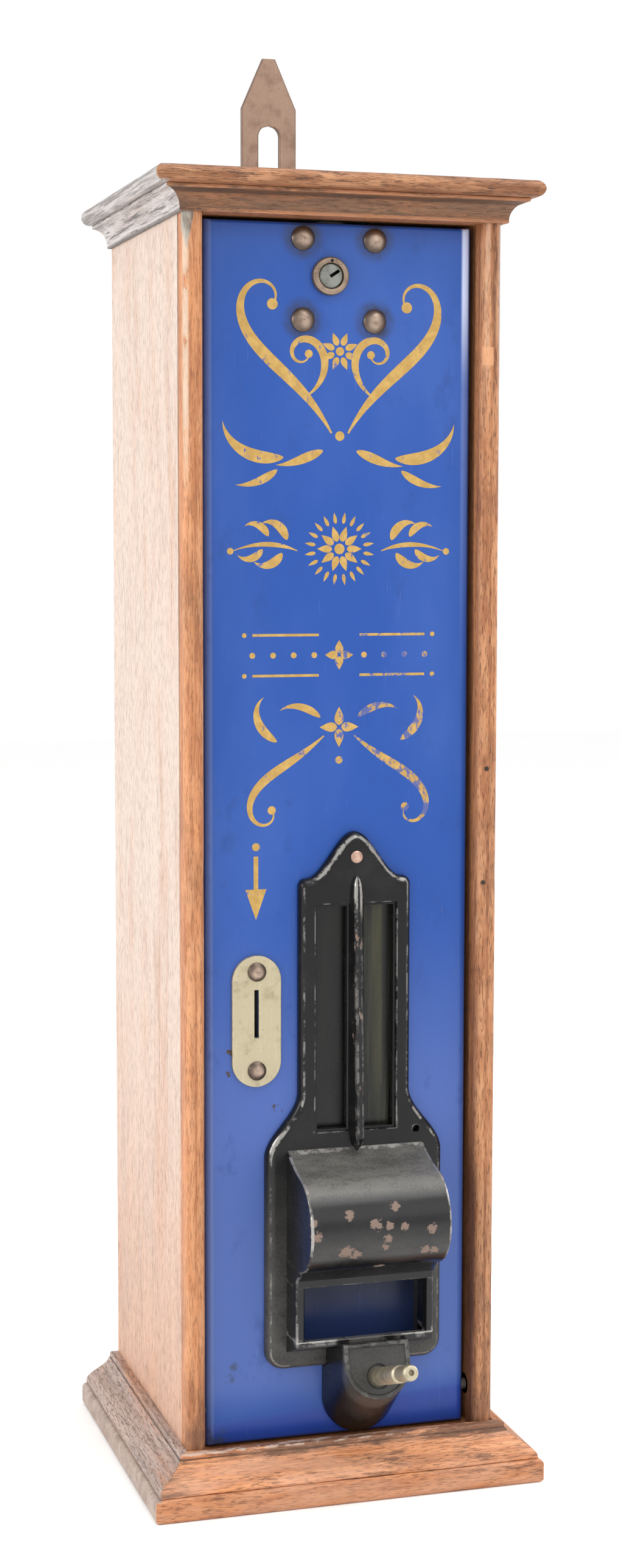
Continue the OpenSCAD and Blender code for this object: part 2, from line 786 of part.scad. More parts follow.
// Everything cut through the panel, drawn on its face
module panel_holes() {
    z = [-2 * sheet_t, 1];
    span([casting_x - window_half - 1.5, casting_x + window_half + 1.5],
        [window_z0 - 1.5, window_z1 + 1.5], z);
    span([casting_x - mag_half, casting_x + mag_half], [exit_z0, exit_z1], z);
    span([coin_x - coin_slot_w / 2, coin_x + coin_slot_w / 2],
        [coin_z - coin_slot_h / 2, coin_z + coin_slot_h / 2], z);
    translate([0, 0, z[0]]) {
        translate([lock_x, lock_z]) cylinder(r = plug_r + slide_c, h = z[1] - z[0]);
        lock_screw_places() cylinder(r = lock_screw_r + hole_c, h = z[1] - z[0]);
        coin_screw_places() cylinder(r = screw_r + hole_c, h = z[1] - z[0]);
        casting_screw_places() cylinder(r = screw_r + hole_c, h = z[1] - z[0]);
        translate([casting_x, rivet_z]) cylinder(r = screw_r + hole_c, h = z[1] - z[0]);
    }
    translate([boss_x, boss_z - boss_out * tan(plunger_deg), z[0]])
        cylinder(r = tail_r + 1.2, h = z[1] - z[0]);
}

module lock_screw_places() {
    for (x = [-1, 1]) for (z = [-1, 1])
        translate([lock_case_x + x * lock_pitch_x / 2, lock_screw_z + z * lock_pitch_z / 2]) children();
}

module coin_screw_places() {
    for (s = [-1, 1]) translate([coin_x, coin_plate_z + s * coin_screw_pitch / 2]) children();
}

module casting_screw_places() {
    for (s = [-1, 1]) for (z = [screw_low_z, screw_high_z])
        translate([casting_x + s * screw_side, z]) children();
}

// Pivot pins brazed into the folded sides
module pivot_pins() color(steel) {
    for (s = [-1, 1]) translate([s * (panel_w / 2 - 2 * sheet_t), pivot_y, pivot_z]) rotate([0, s * 90, 0])
        cylinder(r = pivot_r, h = 2 * sheet_t + side_gap + bush_l - 1);
}

// Lock

// Case with a cavity for the bolt, open at the top where the bolt rises
module lock_case() color(steel) on_panel() difference() {
    span([lock_case_x - lock_case_w / 2, lock_case_x + lock_case_w / 2], [lock_case_z0, lock_case_z1],
        [-sheet_t - lock_case_d, -sheet_t]);
    span([lock_case_x - lock_cavity_half, lock_case_x + lock_cavity_half],
        [lock_case_z0 + lock_wall, lock_case_z1 - lock_wall],
        [-sheet_t - lock_case_d + lock_wall / 2, -sheet_t - lock_wall]);
    span([strike_x - bolt_w / 2 - slide_c, strike_x + bolt_w / 2 + slide_c], [lock_z, lock_case_z1 + 1],
        [-bolt_back - bolt_t - slide_c, -bolt_back + slide_c]);
    translate([lock_x, lock_z, -sheet_t - lock_wall - 1]) cylinder(r = plug_r + run_c, h = lock_wall + 2);
    translate([0, 0, -sheet_t - lock_case_d - 1]) lock_screw_places()
        cylinder(r = lock_screw_r + hole_c, h = lock_case_d + 2);
}

// Raised ring round the plug, notched at the top
module lock_ring() color(brass) on_panel() translate([lock_x, lock_z]) difference() {
    rotate_extrude() polygon(concat([[plug_r + slide_c, 0], [ring_r, 0]],
        arc([ring_r - 1.2, ring_h - 1.2], 1.2, 0, 90, corner_steps), [[plug_r + slide_c, ring_h]]));
    translate([0, ring_r - 1.6, ring_h]) cylinder(r = 0.7, h = 2, center = true);
}

// Plug with its key slot, retaining collar and crank pin
module lock_plug() color(nickel_brass) on_panel() translate([lock_x, lock_z]) {
    difference() {
        translate([0, 0, -plug_back]) cylinder(r = plug_r, h = plug_back + ring_h - 0.6);
        rotate(key_deg) span([-0.5, plug_r - 0.8], [-0.6, 0.6], [-3, ring_h + 1]);
    }
    translate([0, 0, -sheet_t - lock_wall - slide_c - 1.2]) cylinder(r = plug_r + 1.5, h = 1.2);
    rotate(-cam_half_deg) {
        translate([cam_r, 0, -bolt_back - bolt_t])
            cylinder(r = cam_pin_r, h = bolt_t + bolt_back - plug_back + 1.5);
        translate([cam_r, 0, -plug_back]) cylinder(r = cam_pin_r + 0.8, h = 1.5);
    }
}

// Sliding bolt, drawn back: the crank pin works in its cross slot
module lock_bolt() color(steel) on_panel() {
    pin_z = lock_z - cam_r * sin(cam_half_deg);
    difference() {
        span([strike_x - bolt_w / 2, strike_x + bolt_w / 2], [lock_z - bolt_low, rail_z - bolt_head_gap],
            [-bolt_back - bolt_t, -bolt_back]);
        span([strike_x - cam_pin_r - 0.5, lock_x + cam_r + cam_pin_r + 0.5],
            [pin_z - cam_pin_r - slide_c, pin_z + cam_pin_r + slide_c],
            [-bolt_back - bolt_t - 1, -bolt_back + 1]);
    }
}

module lock_screws() color(steel) on_panel() lock_screw_places()
    dome_screw(lock_head_r, 3, lock_screw_r, sheet_t + lock_case_d + 4);

// Square nuts behind the lock case
module lock_nuts() color(steel) on_panel() lock_screw_places() difference() {
    span([-4.2, 4.2], [-4.2, 4.2], [-sheet_t - lock_case_d - 3, -sheet_t - lock_case_d]);
    translate([0, 0, -sheet_t - lock_case_d - 4]) cylinder(r = lock_screw_r, h = 5);
}

// Coin plate and chute

module coin_plate() color(nickel_brass) on_panel() difference() {
    linear_extrude(coin_plate_t) {
        straight = coin_plate_h - coin_plate_w;
        translate([coin_x - coin_plate_w / 2, coin_plate_z - straight / 2])
            square([coin_plate_w, straight]);
        for (s = [-1, 1]) translate([coin_x, coin_plate_z + s * straight / 2]) circle(coin_plate_w / 2);
    }
    span([coin_x - coin_slot_w / 2, coin_x + coin_slot_w / 2],
        [coin_z - coin_slot_h / 2, coin_z + coin_slot_h / 2], [-1, coin_plate_t + 1]);
    translate([0, 0, -1]) coin_screw_places() cylinder(r = screw_r + hole_c, h = coin_plate_t + 2);
}

module coin_plate_screws() color(steel) on_panel() translate([0, 0, coin_plate_t]) coin_screw_places()
    dome_screw(coin_head_r, 2.4, screw_r, coin_plate_t + sheet_t + 3, 60);

// Flat channel that drops the coin edge-on between the finger and the paddle
module coin_chute() color(tin) {
    inner = chute_gap / 2;
    outer = inner + chute_wall;
    y_in = panel_y + sheet_t;
    y_f = panel_y + chute_front;
    y_b = panel_y + chute_back;
    y_tail = panel_y + chute_shelf_end + chute_tail;
    entry_z = coin_z - coin_slot_h / 2 - 3;
    foot_z = chute_low + 14;
    for (s = [-1, 1]) translate([coin_x, 0, 0]) scale_side(s) {
        difference() {
            union() {
                span([inner, outer], [y_f - chute_wall, y_b + chute_wall], [chute_low, chute_top]);
                span([inner, outer], [y_in, y_f], [entry_z, chute_top]);
                span([inner, outer], [y_in, y_f], [chute_low, foot_z]);
                span([inner, outer], [y_f - chute_wall, y_tail],
                    [chute_shelf_z - chute_shelf_t, chute_low]);
            }
            if (s > 0) span([0, outer + 1], [y_f - chute_wall - 1, panel_y + chute_notch_back],
                [chute_shelf_z + chute_curb_h, chute_low - 3]);
        }
    }
    span([coin_x - inner, coin_x + inner], [y_b, y_b + chute_wall], [chute_low, chute_top]);
    span([coin_x - inner, coin_x + inner], [y_f - chute_wall, y_f], [chute_low, entry_z]);
    span([coin_x - inner, coin_x + inner], [y_in, y_b + chute_wall], [chute_top - chute_wall, chute_top]);
    span([coin_x - inner, coin_x + inner], [y_f - chute_wall, panel_y + chute_shelf_end],
        [chute_shelf_z - chute_shelf_t, chute_shelf_z]);
}

// Left and right copies of a solid
module scale_side(s) {
    if (s > 0) children();
    else mirror([1, 0, 0]) children();
}

// Casting

// Right half of the casting's outline, from the middle of its foot up to the tip of the pediment
function casting_half() = concat([[0, flange_z]],
    arc([lower_half - flange_r, flange_z + flange_r], flange_r, 270, 360, corner_steps),
    [for (i = [0:curve_steps]) let(t = i / curve_steps)
        [lower_half + (upper_half - lower_half) * (1 - cos(180 * t)) / 2,
            flare_z0 + (flare_z1 - flare_z0) * t]],
    arc([upper_half - shoulder_r, shoulder_z - shoulder_r], shoulder_r, 0, 75, corner_steps),
    [for (i = [1:curve_steps]) let(x = (upper_half - shoulder_r) * (1 - i / curve_steps))
        [x, shoulder_z + pediment_h * (1 + cos(180 * x / (upper_half - shoulder_r))) / 2]]);

function casting_outline() = let(right = casting_half(), n = len(right))
    concat(right, [for (i = [n - 2:-1:1]) [-right[i][0], right[i][1]]]);

// One contour of the bevelled plate: moved in by d, at height h over the panel
function casting_ring(d, h) = [for (p = inset(casting_outline(), d)) [p[0], p[1], h]];

// Rib with a flat crest and pointed ends, highest at its foot above the hood
module window_rib() {
    z0 = cove_c[1] + cove_r * sin(cove_end_deg) + 1;
    z1 = shoulder_z + 1;
    tip = 9;
    half = rib_half - 0.4;
    stations = [[z0, 0.3], [z0 + tip / 2, 0.8], [z0 + tip, 1],
        [z1 - tip * 1.6, 1], [z1 - tip * 0.7, 0.7], [z1, 0.1]];
    rotate([90, 0, 0]) mirror([0, 0, 1]) loft([for (s = stations)
        let(w = half * s[1], c = w * 0.45,
            h = (rib_h + (rib_foot_h - rib_h) * (z1 - s[0]) / (z1 - z0)) * s[1])
        [[-w, plate_t - 0.6, s[0]], [w, plate_t - 0.6, s[0]],
            [c, plate_t + h, s[0]], [-c, plate_t + h, s[0]]]]);
}

module window_casting() color(black_paint) on_panel() translate([casting_x, 0]) {
    difference() {
        loft([casting_ring(0, 0), casting_ring(0, bevel_foot),
            casting_ring(bevel_w * 0.15, bevel_foot + 0.6),
            casting_ring(bevel_w * 0.85, plate_t - 0.3), casting_ring(bevel_w, plate_t)]);
        for (s = [-1, 1]) scale_side(s) {
            span([rib_half, window_half], [window_z0, window_z1], [-1, plate_t + 1]);
            span([rib_half, window_half + window_step], [window_z0 - window_step, window_z1 + window_step],
                [plate_t - window_step_d, plate_t + 1]);
        }
        span([-hood_half + hood_wall, hood_half - hood_wall],
            [tray_back_z + hood_wall, delivery_z1], [-1, plate_t + 1]);
        translate([0, rivet_z, -1]) cylinder(r = screw_r, h = plate_t + 2);
        translate([lost_screw[0], lost_screw[1], -1]) cylinder(r = screw_r, h = plate_t + 2);
        translate([-casting_x, 0, -1]) casting_screw_places() cylinder(r = screw_r, h = plate_t - 0.5);
    }
    window_rib();
}

// Copper rivet that holds the tip of the casting to the panel
module casting_rivet() color(copper) on_panel() translate([casting_x, rivet_z]) {
    translate([0, 0, plate_t]) rotate_extrude() intersection() {
        translate([0, 1.2 - 3.5]) circle(3.5);
        square([rivet_r, 1.2]);
    }
    translate([0, 0, -sheet_t]) cylinder(r = screw_r, h = sheet_t + plate_t + 0.2);
    translate([0, 0, -sheet_t - 1]) cylinder(r = rivet_r, h = 1);
}

// Screws from behind: the lower pair also holds the mechanism frame
module casting_screws() color(steel) on_panel() {
    for (s = [-1, 1]) for (p = [[screw_low_z, frame_t], [screw_high_z, 0]])
        translate([casting_x + s * screw_side, p[0], -sheet_t - p[1]]) rotate([180, 0, 0])
            dome_screw(screw_head_r, screw_head_h, screw_r, p[1] + sheet_t + plate_t - 1.6, 70);
}

// Hood and tray

// Height of the tray's underside at a distance out of the panel
function tray_under(out) = tray_back_z + (tray_z - tray_back_z) * (out - plate_t) / (tray_out - plate_t);

// Curve of the hood for a shell moved in by d: the lip, round the nose, up the cove to the plate
function hood_curve(d, lip_deg) = concat(arc([nose_out, nose_z], nose_r - d, lip_deg, nose_top_deg),
    arc(cove_c, cove_r + d, 180 + nose_top_deg, cove_end_deg));

module delivery_hood() color(black_paint) {
    side = hood_half - hood_wall;
    lip = arc([nose_out, nose_z], nose_r, nose_lip_deg, 0)[0];
    under = mouth_z1 + 3;
    toe = tray_out - 1;
    inner = tray_out - hood_wall;
    difference() {
        across(casting_x - hood_half, casting_x + hood_half) section(concat(
            [[plate_t, tray_back_z], [toe, tray_under(toe)], [tray_out, tray_z + 0.8], [tray_out, under]],
            hood_curve(0, nose_lip_deg)));
        across(casting_x - side, casting_x + side) section(concat(
            [[plate_t - 1, tray_under(plate_t - 1) + hood_wall], [inner, tray_under(inner) + hood_wall],
                [inner, under + hood_wall]],
            hood_curve(hood_wall, nose_lip_deg + 10), [[plate_t - 1, delivery_z1]]));
        span([casting_x - side, casting_x + side],
            [panel_y - tray_out - 5, panel_y - plate_t], [mouth_z0, mouth_z1]);
    }
}

// Drawing given by distance out of the panel and height
module section(pts) {
    polygon([for (p = pts) [panel_y - p[0], p[1]]]);
}

// Boss and plunger

// Upright shape with a half-round foot: half width, height of the round's centre, height of the top
module arch_down(half, centre, top) {
    translate([-half, centre]) square([2 * half, top - centre]);
    intersection() {
        translate([0, centre]) circle(half);
        translate([-half, centre - half]) square([2 * half, half + eps]);
    }
}

// Face of the boss, drawn in by c all round
module boss_face(c) arch_down(boss_half - c, boss_half - boss_down, boss_up - c);

// Solid of the boss between its tilted face and the panel, drawn in by c and raised by up
module boss_block(c, up) hull() {
    on_plunger() translate([0, 0, -1 - c]) linear_extrude(1)
        arch_down(boss_half - c, boss_half - boss_down, boss_up + up);
    on_panel() translate([boss_x, 0]) linear_extrude(boss_foot_d)
        arch_down(boss_foot_half - c, boss_foot_z + boss_foot_half, tray_back_z + 5 + up);
}

// Hollow half-cone boss under the tray, closed in front by a thick rimmed face for the plunger
module plunger_boss() color(black_paint) difference() {
    union() {
        boss_block(0, 0);
        on_plunger() translate([0, 0, -0.5]) linear_extrude(1.5) difference() {
            boss_face(0.3);
            boss_face(2);
        }
    }
    intersection() {
        boss_block(boss_wall, 20);
        on_panel() span([-big, big], [0, big], [-1, tray_out]);
    }
    on_panel() span([-big, big], [flange_z, big], [-1, plate_t]);
    across(-big, big) section([[-1, tray_under(-1)], [tray_out, tray_z], [tray_out, big], [-1, big]]);
    on_plunger() translate([0, 0, -panel_reach]) cylinder(r = bush_plate_r, h = panel_reach + 3);
}

// Sleeve in the boss that guides the plunger
module plunger_bush() color(brass) on_plunger() difference() {
    translate([0, 0, -bush_back]) cylinder(r = bush_plate_r - run_c, h = bush_back - bush_front);
    translate([0, 0, -bush_back - 1]) cylinder(r = plunger_r + run_c, h = bush_back + 2);
}

// Turned brass plunger: stout rod, grooved button with a centre hole, thin tail
module plunger() color(brass) on_plunger() {
    tip = plunger_out + button_l;
    rotate_extrude() polygon(concat(
        [[0, -tail_in], [tail_r, -tail_in], [tail_r, -shoulder_in], [plunger_r, -shoulder_in],
            [plunger_r, plunger_out - 0.8], [plunger_r - 0.8, plunger_out],
            [button_r - 0.9, plunger_out + 0.2], [button_r - 0.9, plunger_out + 1],
            [button_r, plunger_out + 1.8]],
        arc([button_r - 1.6, tip - 1.6], 1.6, 0, 90, corner_steps),
        [[1.1, tip], [1.1, tip - 1.6], [0, tip - 1.6]]));
}

// Crosshead on the plunger's tail: its finger pushes the coin
module crosshead() color(steel) on_plunger() {
    finger_x = coin_x - boss_x;
    y0 = -hub_in - hub_l;
    difference() {
        union() {
            translate([0, 0, y0]) cylinder(r = hub_r, h = hub_l);
            span([finger_x - blade_t / 2, 0], [bar_low, bar_high], [y0, y0 + bar_t]);
            span([finger_x - blade_t / 2, finger_x + blade_t / 2],
                [finger_low, bar_high], [y0, y0 + bar_t]);
        }
        translate([0, 0, y0 - 1]) cylinder(r = tail_r, h = hub_l + 2);
    }
}

// Centre line of the return spring, wound from the plunger's shoulder back to the panel
function spring_point(t) = let(a = 360 * spring_turns * t,
    start = shoulder_in + spring_wire_r + slide_c,
    z = -start - (spring_end - spring_wire_r - start) * t)
    [spring_r * cos(a), spring_r * sin(a), z];

// Ring of the wire at a point, square to the winding
function spring_ring(t) = let(p = spring_point(t), a = 360 * spring_turns * t)
    [for (k = [0:5]) let(b = -60 * k)
        p + spring_wire_r * (cos(b) * [cos(a), sin(a), 0] + sin(b) * [0, 0, 1])];

module return_spring() color(steel) on_plunger()
    loft([for (i = [0:8 * spring_turns]) spring_ring(i / (8 * spring_turns))]);

// Window glass, magazine and follower

module window_glass() color("#5a6458") on_panel()
    span([casting_x - glass_half, casting_x + glass_half], [window_z0 - 6, window_z1 + 6],
        [-sheet_t - glass_t, -sheet_t]);

// Four bent clips that hold the glass to the panel
module glass_clips() color(steel) on_panel() {
    foot = [-sheet_t - glass_t - hole_c - clip_t, -sheet_t];
    for (s = [-1, 1]) for (z = [window_z0 + clip_in, window_z1 - clip_in - clip_l])
        translate([casting_x, z]) scale_side(s) {
            span([glass_half + hole_c, mag_half - 1], [0, clip_l], foot);
            span([glass_half - clip_lap, glass_half + hole_c], [0, clip_l], [foot[0], foot[0] + clip_t]);
        }
}

// Sheet channel that holds the column of packs, with a runway behind it for the pusher
module magazine() color(tin) translate([casting_x, panel_y, 0]) difference() {
    union() {
        for (s = [-1, 1]) scale_side(s) {
            span([mag_half, mag_half + mag_t], [sheet_t, mag_back + mag_t], [mag_z0, mag_z1]);
            for (z = ear_z) span([mag_half, mag_half + ear_w], [sheet_t, sheet_t + mag_t], [z, z + ear_h]);
            span([runway_half - mag_t, runway_half], [mag_back, runway_back],
                [mag_z0, pusher_z + pusher_t]);
        }
        span([-mag_half, mag_half], [mag_back, mag_back + mag_t], [mag_z0, mag_z1]);
        span([-mag_half, mag_half], [sheet_t, mag_back + mag_t], [mag_z0, mag_z0 + mag_t]);
        span([-runway_half, runway_half], [mag_back, runway_back], [mag_z0, mag_z0 + mag_t]);
    }
    span([-pusher_half - slide_c, pusher_half + slide_c], [mag_back - 1, mag_back + 2 * mag_t],
        [mag_z0 + mag_t, pusher_z + pusher_t + slide_c]);
    span([-arm_t / 2 - 1, arm_t / 2 + 1], [mag_back - 1, mag_back + 2 * mag_t], [mag_z0, arm_top + 1]);
    span([-arm_t / 2 - 1, arm_t / 2 + 1], [mag_back - 4, runway_back - 1],
        [mag_z0 - 1, mag_z0 + 2 * mag_t]);
    for (s = [-1, 1]) scale_side(s) span([mag_half - 1, mag_half + 2 * mag_t],
        [follower_y - follower_pin_r - slide_c, follower_y + follower_pin_r + slide_c],
        [follower_z + follower_h / 2 - follower_pin_r - slide_c, slot_z1]);
}

// Iron weight on the gum column, guided by its cross pin in the magazine's slots
module follower_weight() color("#4a4642") translate([casting_x, panel_y + follower_y, follower_z]) {
    half = mag_half - 1;
    across(-half, half) polygon(round_rect(-follower_d / 2, follower_d / 2, 0, follower_h, [2, 2, 5, 5]));
}

module follower_pin() color(steel) translate([casting_x, panel_y + follower_y, follower_z + follower_h / 2])
    for (s = [-1, 1]) translate([s * (mag_half - 1), 0, 0]) rotate([0, s * 90, 0])
        cylinder(r = follower_pin_r, h = mag_t + 3.5);

// Mechanism

// Frame of two cheeks on a plate behind the panel, bored for the rocker shaft
module mechanism_frame() color(tin) translate([0, panel_y, 0]) difference() {
    union() {
        span(frame_x, [sheet_t, sheet_t + frame_t], frame_z);
        for (x = [frame_x[0], frame_x[1] - frame_t])
            span([x, x + frame_t], [sheet_t, shaft_back + cheek_past], [frame_z[0], cheek_z1]);
    }
    translate([0, shaft_back, shaft_z]) rotate([0, 90, 0])
        cylinder(r = shaft_r + run_c, h = big, center = true);
    rotate([90, 0, 0]) translate([0, 0, -10]) casting_screw_places() cylinder(r = screw_r + hole_c, h = 20);
}

// Rocker frame: origin on the shaft, turned to where the rocker rests
module on_rocker() {
    translate([0, panel_y + shaft_back, shaft_z]) rotate([rest_deg, 0, 0]) children();
}

module rocker_shaft() color(steel) on_rocker() translate([shaft_x[0], 0, 0]) rotate([0, 90, 0])
    cylinder(r = shaft_r, h = shaft_x[1] - shaft_x[0]);

// Sleeve on the shaft with the arm that throws the pusher forward
module rocker_arm() color(steel) on_rocker() difference() {
    union() {
        translate([frame_x[0] + frame_t + slide_c, 0, 0]) rotate([0, 90, 0])
            cylinder(r = sleeve_r, h = frame_x[1] - frame_x[0] - 2 * frame_t - 2 * slide_c);
        span([casting_x - arm_t / 2, casting_x + arm_t / 2], [-arm_w / 2, arm_w / 2], [0, eject_l]);
        translate([casting_x - arm_t / 2, 0, eject_l]) rotate([0, 90, 0]) cylinder(r = tip_r, h = arm_t);
    }
    rotate([0, 90, 0]) cylinder(r = shaft_r, h = big, center = true);
}

// Paddle on the end of the shaft, pushed back by the coin
module coin_paddle() color(steel) on_rocker() difference() {
    union() {
        translate([coin_x - blade_t / 2, 0, 0]) rotate([0, 90, 0]) cylinder(r = sleeve_r, h = blade_t + 2);
        span([coin_x - blade_t / 2, coin_x + blade_t / 2], [-1, 4], [-paddle_l, 0]);
    }
    translate([coin_x - 5, 0, 0]) rotate([0, 90, 0]) cylinder(r = shaft_r, h = 10);
}

// Plate that slides under the column and shoves the lowest pack out
module pusher() color(steel) translate([casting_x, panel_y, pusher_z]) difference() {
    span([-pusher_half, pusher_half], [pusher_front, pusher_back], [0, pusher_t]);
    span([-arm_t / 2 - 0.5, arm_t / 2 + 0.5], [eject_y - tip_r - slide_c, eject_y + tip_r + slide_c],
        [-1, pusher_t + 1]);
}

base_plinth();
base_moulding_front();
base_moulding_left();
base_moulding_right();
floor_board();
side_board_left();
side_board_right();
back_board();
top_rail();
strike_plate();
strike_screws();
top_board();
cornice_front();
cornice_left();
cornice_right();
hanger_strip();
hanger_screws();
pivot_bushes();
stop_blocks();
cash_tray();
front_panel();
pivot_pins();
lock_case();
lock_ring();
lock_screws();
lock_nuts();
coin_plate();
coin_plate_screws();
coin_chute();
window_casting();
casting_rivet();
casting_screws();
delivery_hood();
plunger_boss();
plunger_bush();
window_glass();
glass_clips();
magazine();
mechanism_frame();
lock_plug();
lock_bolt();
plunger();
crosshead();
return_spring();
rocker_shaft();
rocker_arm();
coin_paddle();
pusher();
follower_weight();
follower_pin();
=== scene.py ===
# %% [markdown]
# A coin-worked gum machine from about 1900: a tall oak case, a blue steel front, a black iron casting.
# The CAD model gives every piece its place. This notebook dresses it: each cell makes one piece as a
# surface that numpy works out, and gives it a finish built from shader nodes.

# %% Load the frame
import json

import bmesh
import bpy
import numpy as np
from mathutils import Matrix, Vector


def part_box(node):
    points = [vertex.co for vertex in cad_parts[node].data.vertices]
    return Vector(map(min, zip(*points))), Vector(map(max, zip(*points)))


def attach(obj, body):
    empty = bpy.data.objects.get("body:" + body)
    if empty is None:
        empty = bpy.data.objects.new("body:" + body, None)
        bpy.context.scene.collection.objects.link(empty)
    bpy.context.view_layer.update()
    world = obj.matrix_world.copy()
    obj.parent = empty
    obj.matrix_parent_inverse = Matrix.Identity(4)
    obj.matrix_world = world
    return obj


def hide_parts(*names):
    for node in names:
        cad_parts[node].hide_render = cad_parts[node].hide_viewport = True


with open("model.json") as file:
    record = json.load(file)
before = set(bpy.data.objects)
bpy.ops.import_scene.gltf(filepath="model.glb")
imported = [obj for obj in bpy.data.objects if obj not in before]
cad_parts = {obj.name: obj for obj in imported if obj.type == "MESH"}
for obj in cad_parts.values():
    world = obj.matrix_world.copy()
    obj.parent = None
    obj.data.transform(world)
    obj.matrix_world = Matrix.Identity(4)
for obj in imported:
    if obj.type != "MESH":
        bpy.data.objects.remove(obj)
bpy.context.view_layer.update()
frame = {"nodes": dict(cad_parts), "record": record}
nodes = frame["nodes"]
print(len(nodes), "CAD nodes in the frame")

# %% [markdown]
# The camera stands where the photographer stood: a little left of the case, slightly above its middle,
# looking down by five and a half degrees. Its three axes follow from a yaw, a pitch and a tiny roll.

# %% Camera
EYE = np.array([-0.31222, -1.05528, 0.40714])
YAW, PITCH, ROLL, LENS, SENSOR = 0.29013, 0.09624, 0.00156, 57.13, 36.0


def put(name, data, at, right, up):
    """Object at a point, its own x and y axes along right and up: the columns of its matrix are its axes."""
    matrix = np.eye(4)
    matrix[:3] = np.stack([right, up, np.cross(right, up), at], 1)
    made = bpy.data.objects.new(name, data)
    made.matrix_world = Matrix(matrix.tolist())
    bpy.context.scene.collection.objects.link(made)
    return made


ahead = np.array([np.sin(YAW) * np.cos(PITCH), np.cos(YAW) * np.cos(PITCH), -np.sin(PITCH)])
level = np.array([np.cos(YAW), -np.sin(YAW), 0.0])
above = np.cross(level, ahead)
optics = bpy.data.cameras.new("camera")
optics.lens, optics.sensor_width, optics.clip_start = LENS, SENSOR, 0.01
bpy.context.scene.camera = put("camera", optics, EYE, np.cos(ROLL) * level + np.sin(ROLL) * above,
                               np.cos(ROLL) * above - np.sin(ROLL) * level)
print("camera", EYE.tolist(), "lens", LENS)

# %% [markdown]
# Shapes first. Everything below is worked out in millimetres, as on a drawing, and turned to metres when
# the mesh is made. A mesh of quads comes from two kinds of grid: a tube, whose rings close on themselves,
# and a slab, a front and a back grid joined by walls wherever the kept cells end, so a hole is only a mask.

# %% Grids to meshes
MM = 0.001
CREASE = np.radians(38)


def at_points(*coordinates):
    """Points from their coordinates, each an array or one number for all."""
    return np.stack(np.broadcast_arrays(*coordinates), -1)


def cells_of(ids):
    """The four corners of each cell of a grid of point numbers."""
    return np.stack([ids[:-1, :-1], ids[:-1, 1:], ids[1:, 1:], ids[1:, :-1]], -1)


def slab(front, back, kept):
    """Closed shell between two grids: front cells, back cells turned over, walls where the kept cells end."""
    n, m = front.shape[:2]
    ids = np.arange(n * m).reshape(n, m)
    cells = cells_of(ids)[kept]
    ring = np.pad(kept, 1)
    flat = np.stack([ids[:, :-1], ids[:, 1:]], -1)[ring[1:, 1:-1] != ring[:-1, 1:-1]]
    tall = np.stack([ids[:-1], ids[1:]], -1)[ring[1:-1, 1:] != ring[1:-1, :-1]]
    edges = np.concatenate([flat, tall])
    walls = np.concatenate([edges, edges[:, ::-1] + n * m], 1)
    points = np.concatenate([front, back]).reshape(-1, 3)
    return points, np.concatenate([cells, cells[:, ::-1] + n * m, walls])


def wrap(rings):
    """Skin from ring to ring, each ring joined up with itself; a loop repeats its first ring at the end."""
    ids = np.arange(rings.shape[0] * rings.shape[1]).reshape(rings.shape[:2])
    return rings.reshape(-1, 3), cells_of(np.concatenate([ids, ids[:, :1]], 1)).reshape(-1, 4)


def tube(rings, cores=None):
    """Closed skin through a stack of rings: each end is drawn in to a middle point."""
    cores = rings[[0, -1]].mean(1) if cores is None else cores
    ends = np.repeat(cores[:, None], rings.shape[1], 1)
    return wrap(np.concatenate([ends[:1], rings, ends[1:]]))


def capped(wear, turns=None):
    """Wear of a tube: one value for each ring, or a grid of them, with none at the two middle points."""
    grid = wear if turns is None else np.tile(wear[:, None], (1, turns))
    return np.pad(grid, ((1, 1), (0, 0)))


def joined(parts):
    """Several (points, quads) meshes as one: each one's numbers start where the last one's end."""
    starts = np.cumsum([0] + [len(p) for p, _ in parts])
    return np.concatenate([p for p, _ in parts]), np.concatenate([q + s for (_, q), s in zip(parts, starts)])


def make_piece(name, shape, body, slot, coat, stands_for=(), wear=None):
    """Mesh of a shape in mm at the origin: unused points go, points that meet merge, faces look outwards.
    Wear is repeated until each point has one, so a slab's two grids share theirs."""
    points, quads = shape
    used, quads = np.unique(quads, return_inverse=True)
    mesh = bpy.data.meshes.new(name)
    mesh.from_pydata((points[used] * MM).tolist(), [], quads.reshape(-1, 4).tolist())
    if wear is not None:
        wear = np.resize(wear, len(points))[used].astype(np.float32)
        mesh.attributes.new("wear", "FLOAT", "POINT").data.foreach_set("value", wear)
    work = bmesh.new()
    work.from_mesh(mesh)
    bmesh.ops.remove_doubles(work, verts=work.verts, dist=2e-6)
    bmesh.ops.dissolve_degenerate(work, dist=1e-6, edges=work.edges)
    bmesh.ops.recalc_face_normals(work, faces=work.faces)
    work.to_mesh(mesh)
    work.free()
    mesh.shade_smooth()
    mesh.set_sharp_from_angle(angle=CREASE)
    mesh.materials.append(coat)
    piece = bpy.data.objects.new(name, mesh)
    bpy.context.scene.collection.objects.link(piece)
    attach(piece, body)
    if stands_for:
        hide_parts(*stands_for)
    print(name, len(mesh.polygons), "faces on", body)


def span_of(node):
    """Lowest and highest corner of a CAD node, in mm."""
    low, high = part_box(node)
    return np.array(low) / MM, np.array(high) / MM


def middle_of(node):
    """Middle of a CAD node's box, in mm."""
    return sum(span_of(node)) / 2


print("the steel front's middle, in mm:", middle_of("front_panel").round(1).tolist())


# %% [markdown]
# More helpers. Old wood and old castings have no straight line, so ripple adds a few sine waves with
# seeded phases. Corners are softened by a quadratic curve, and lathe turns a profile about an axis.

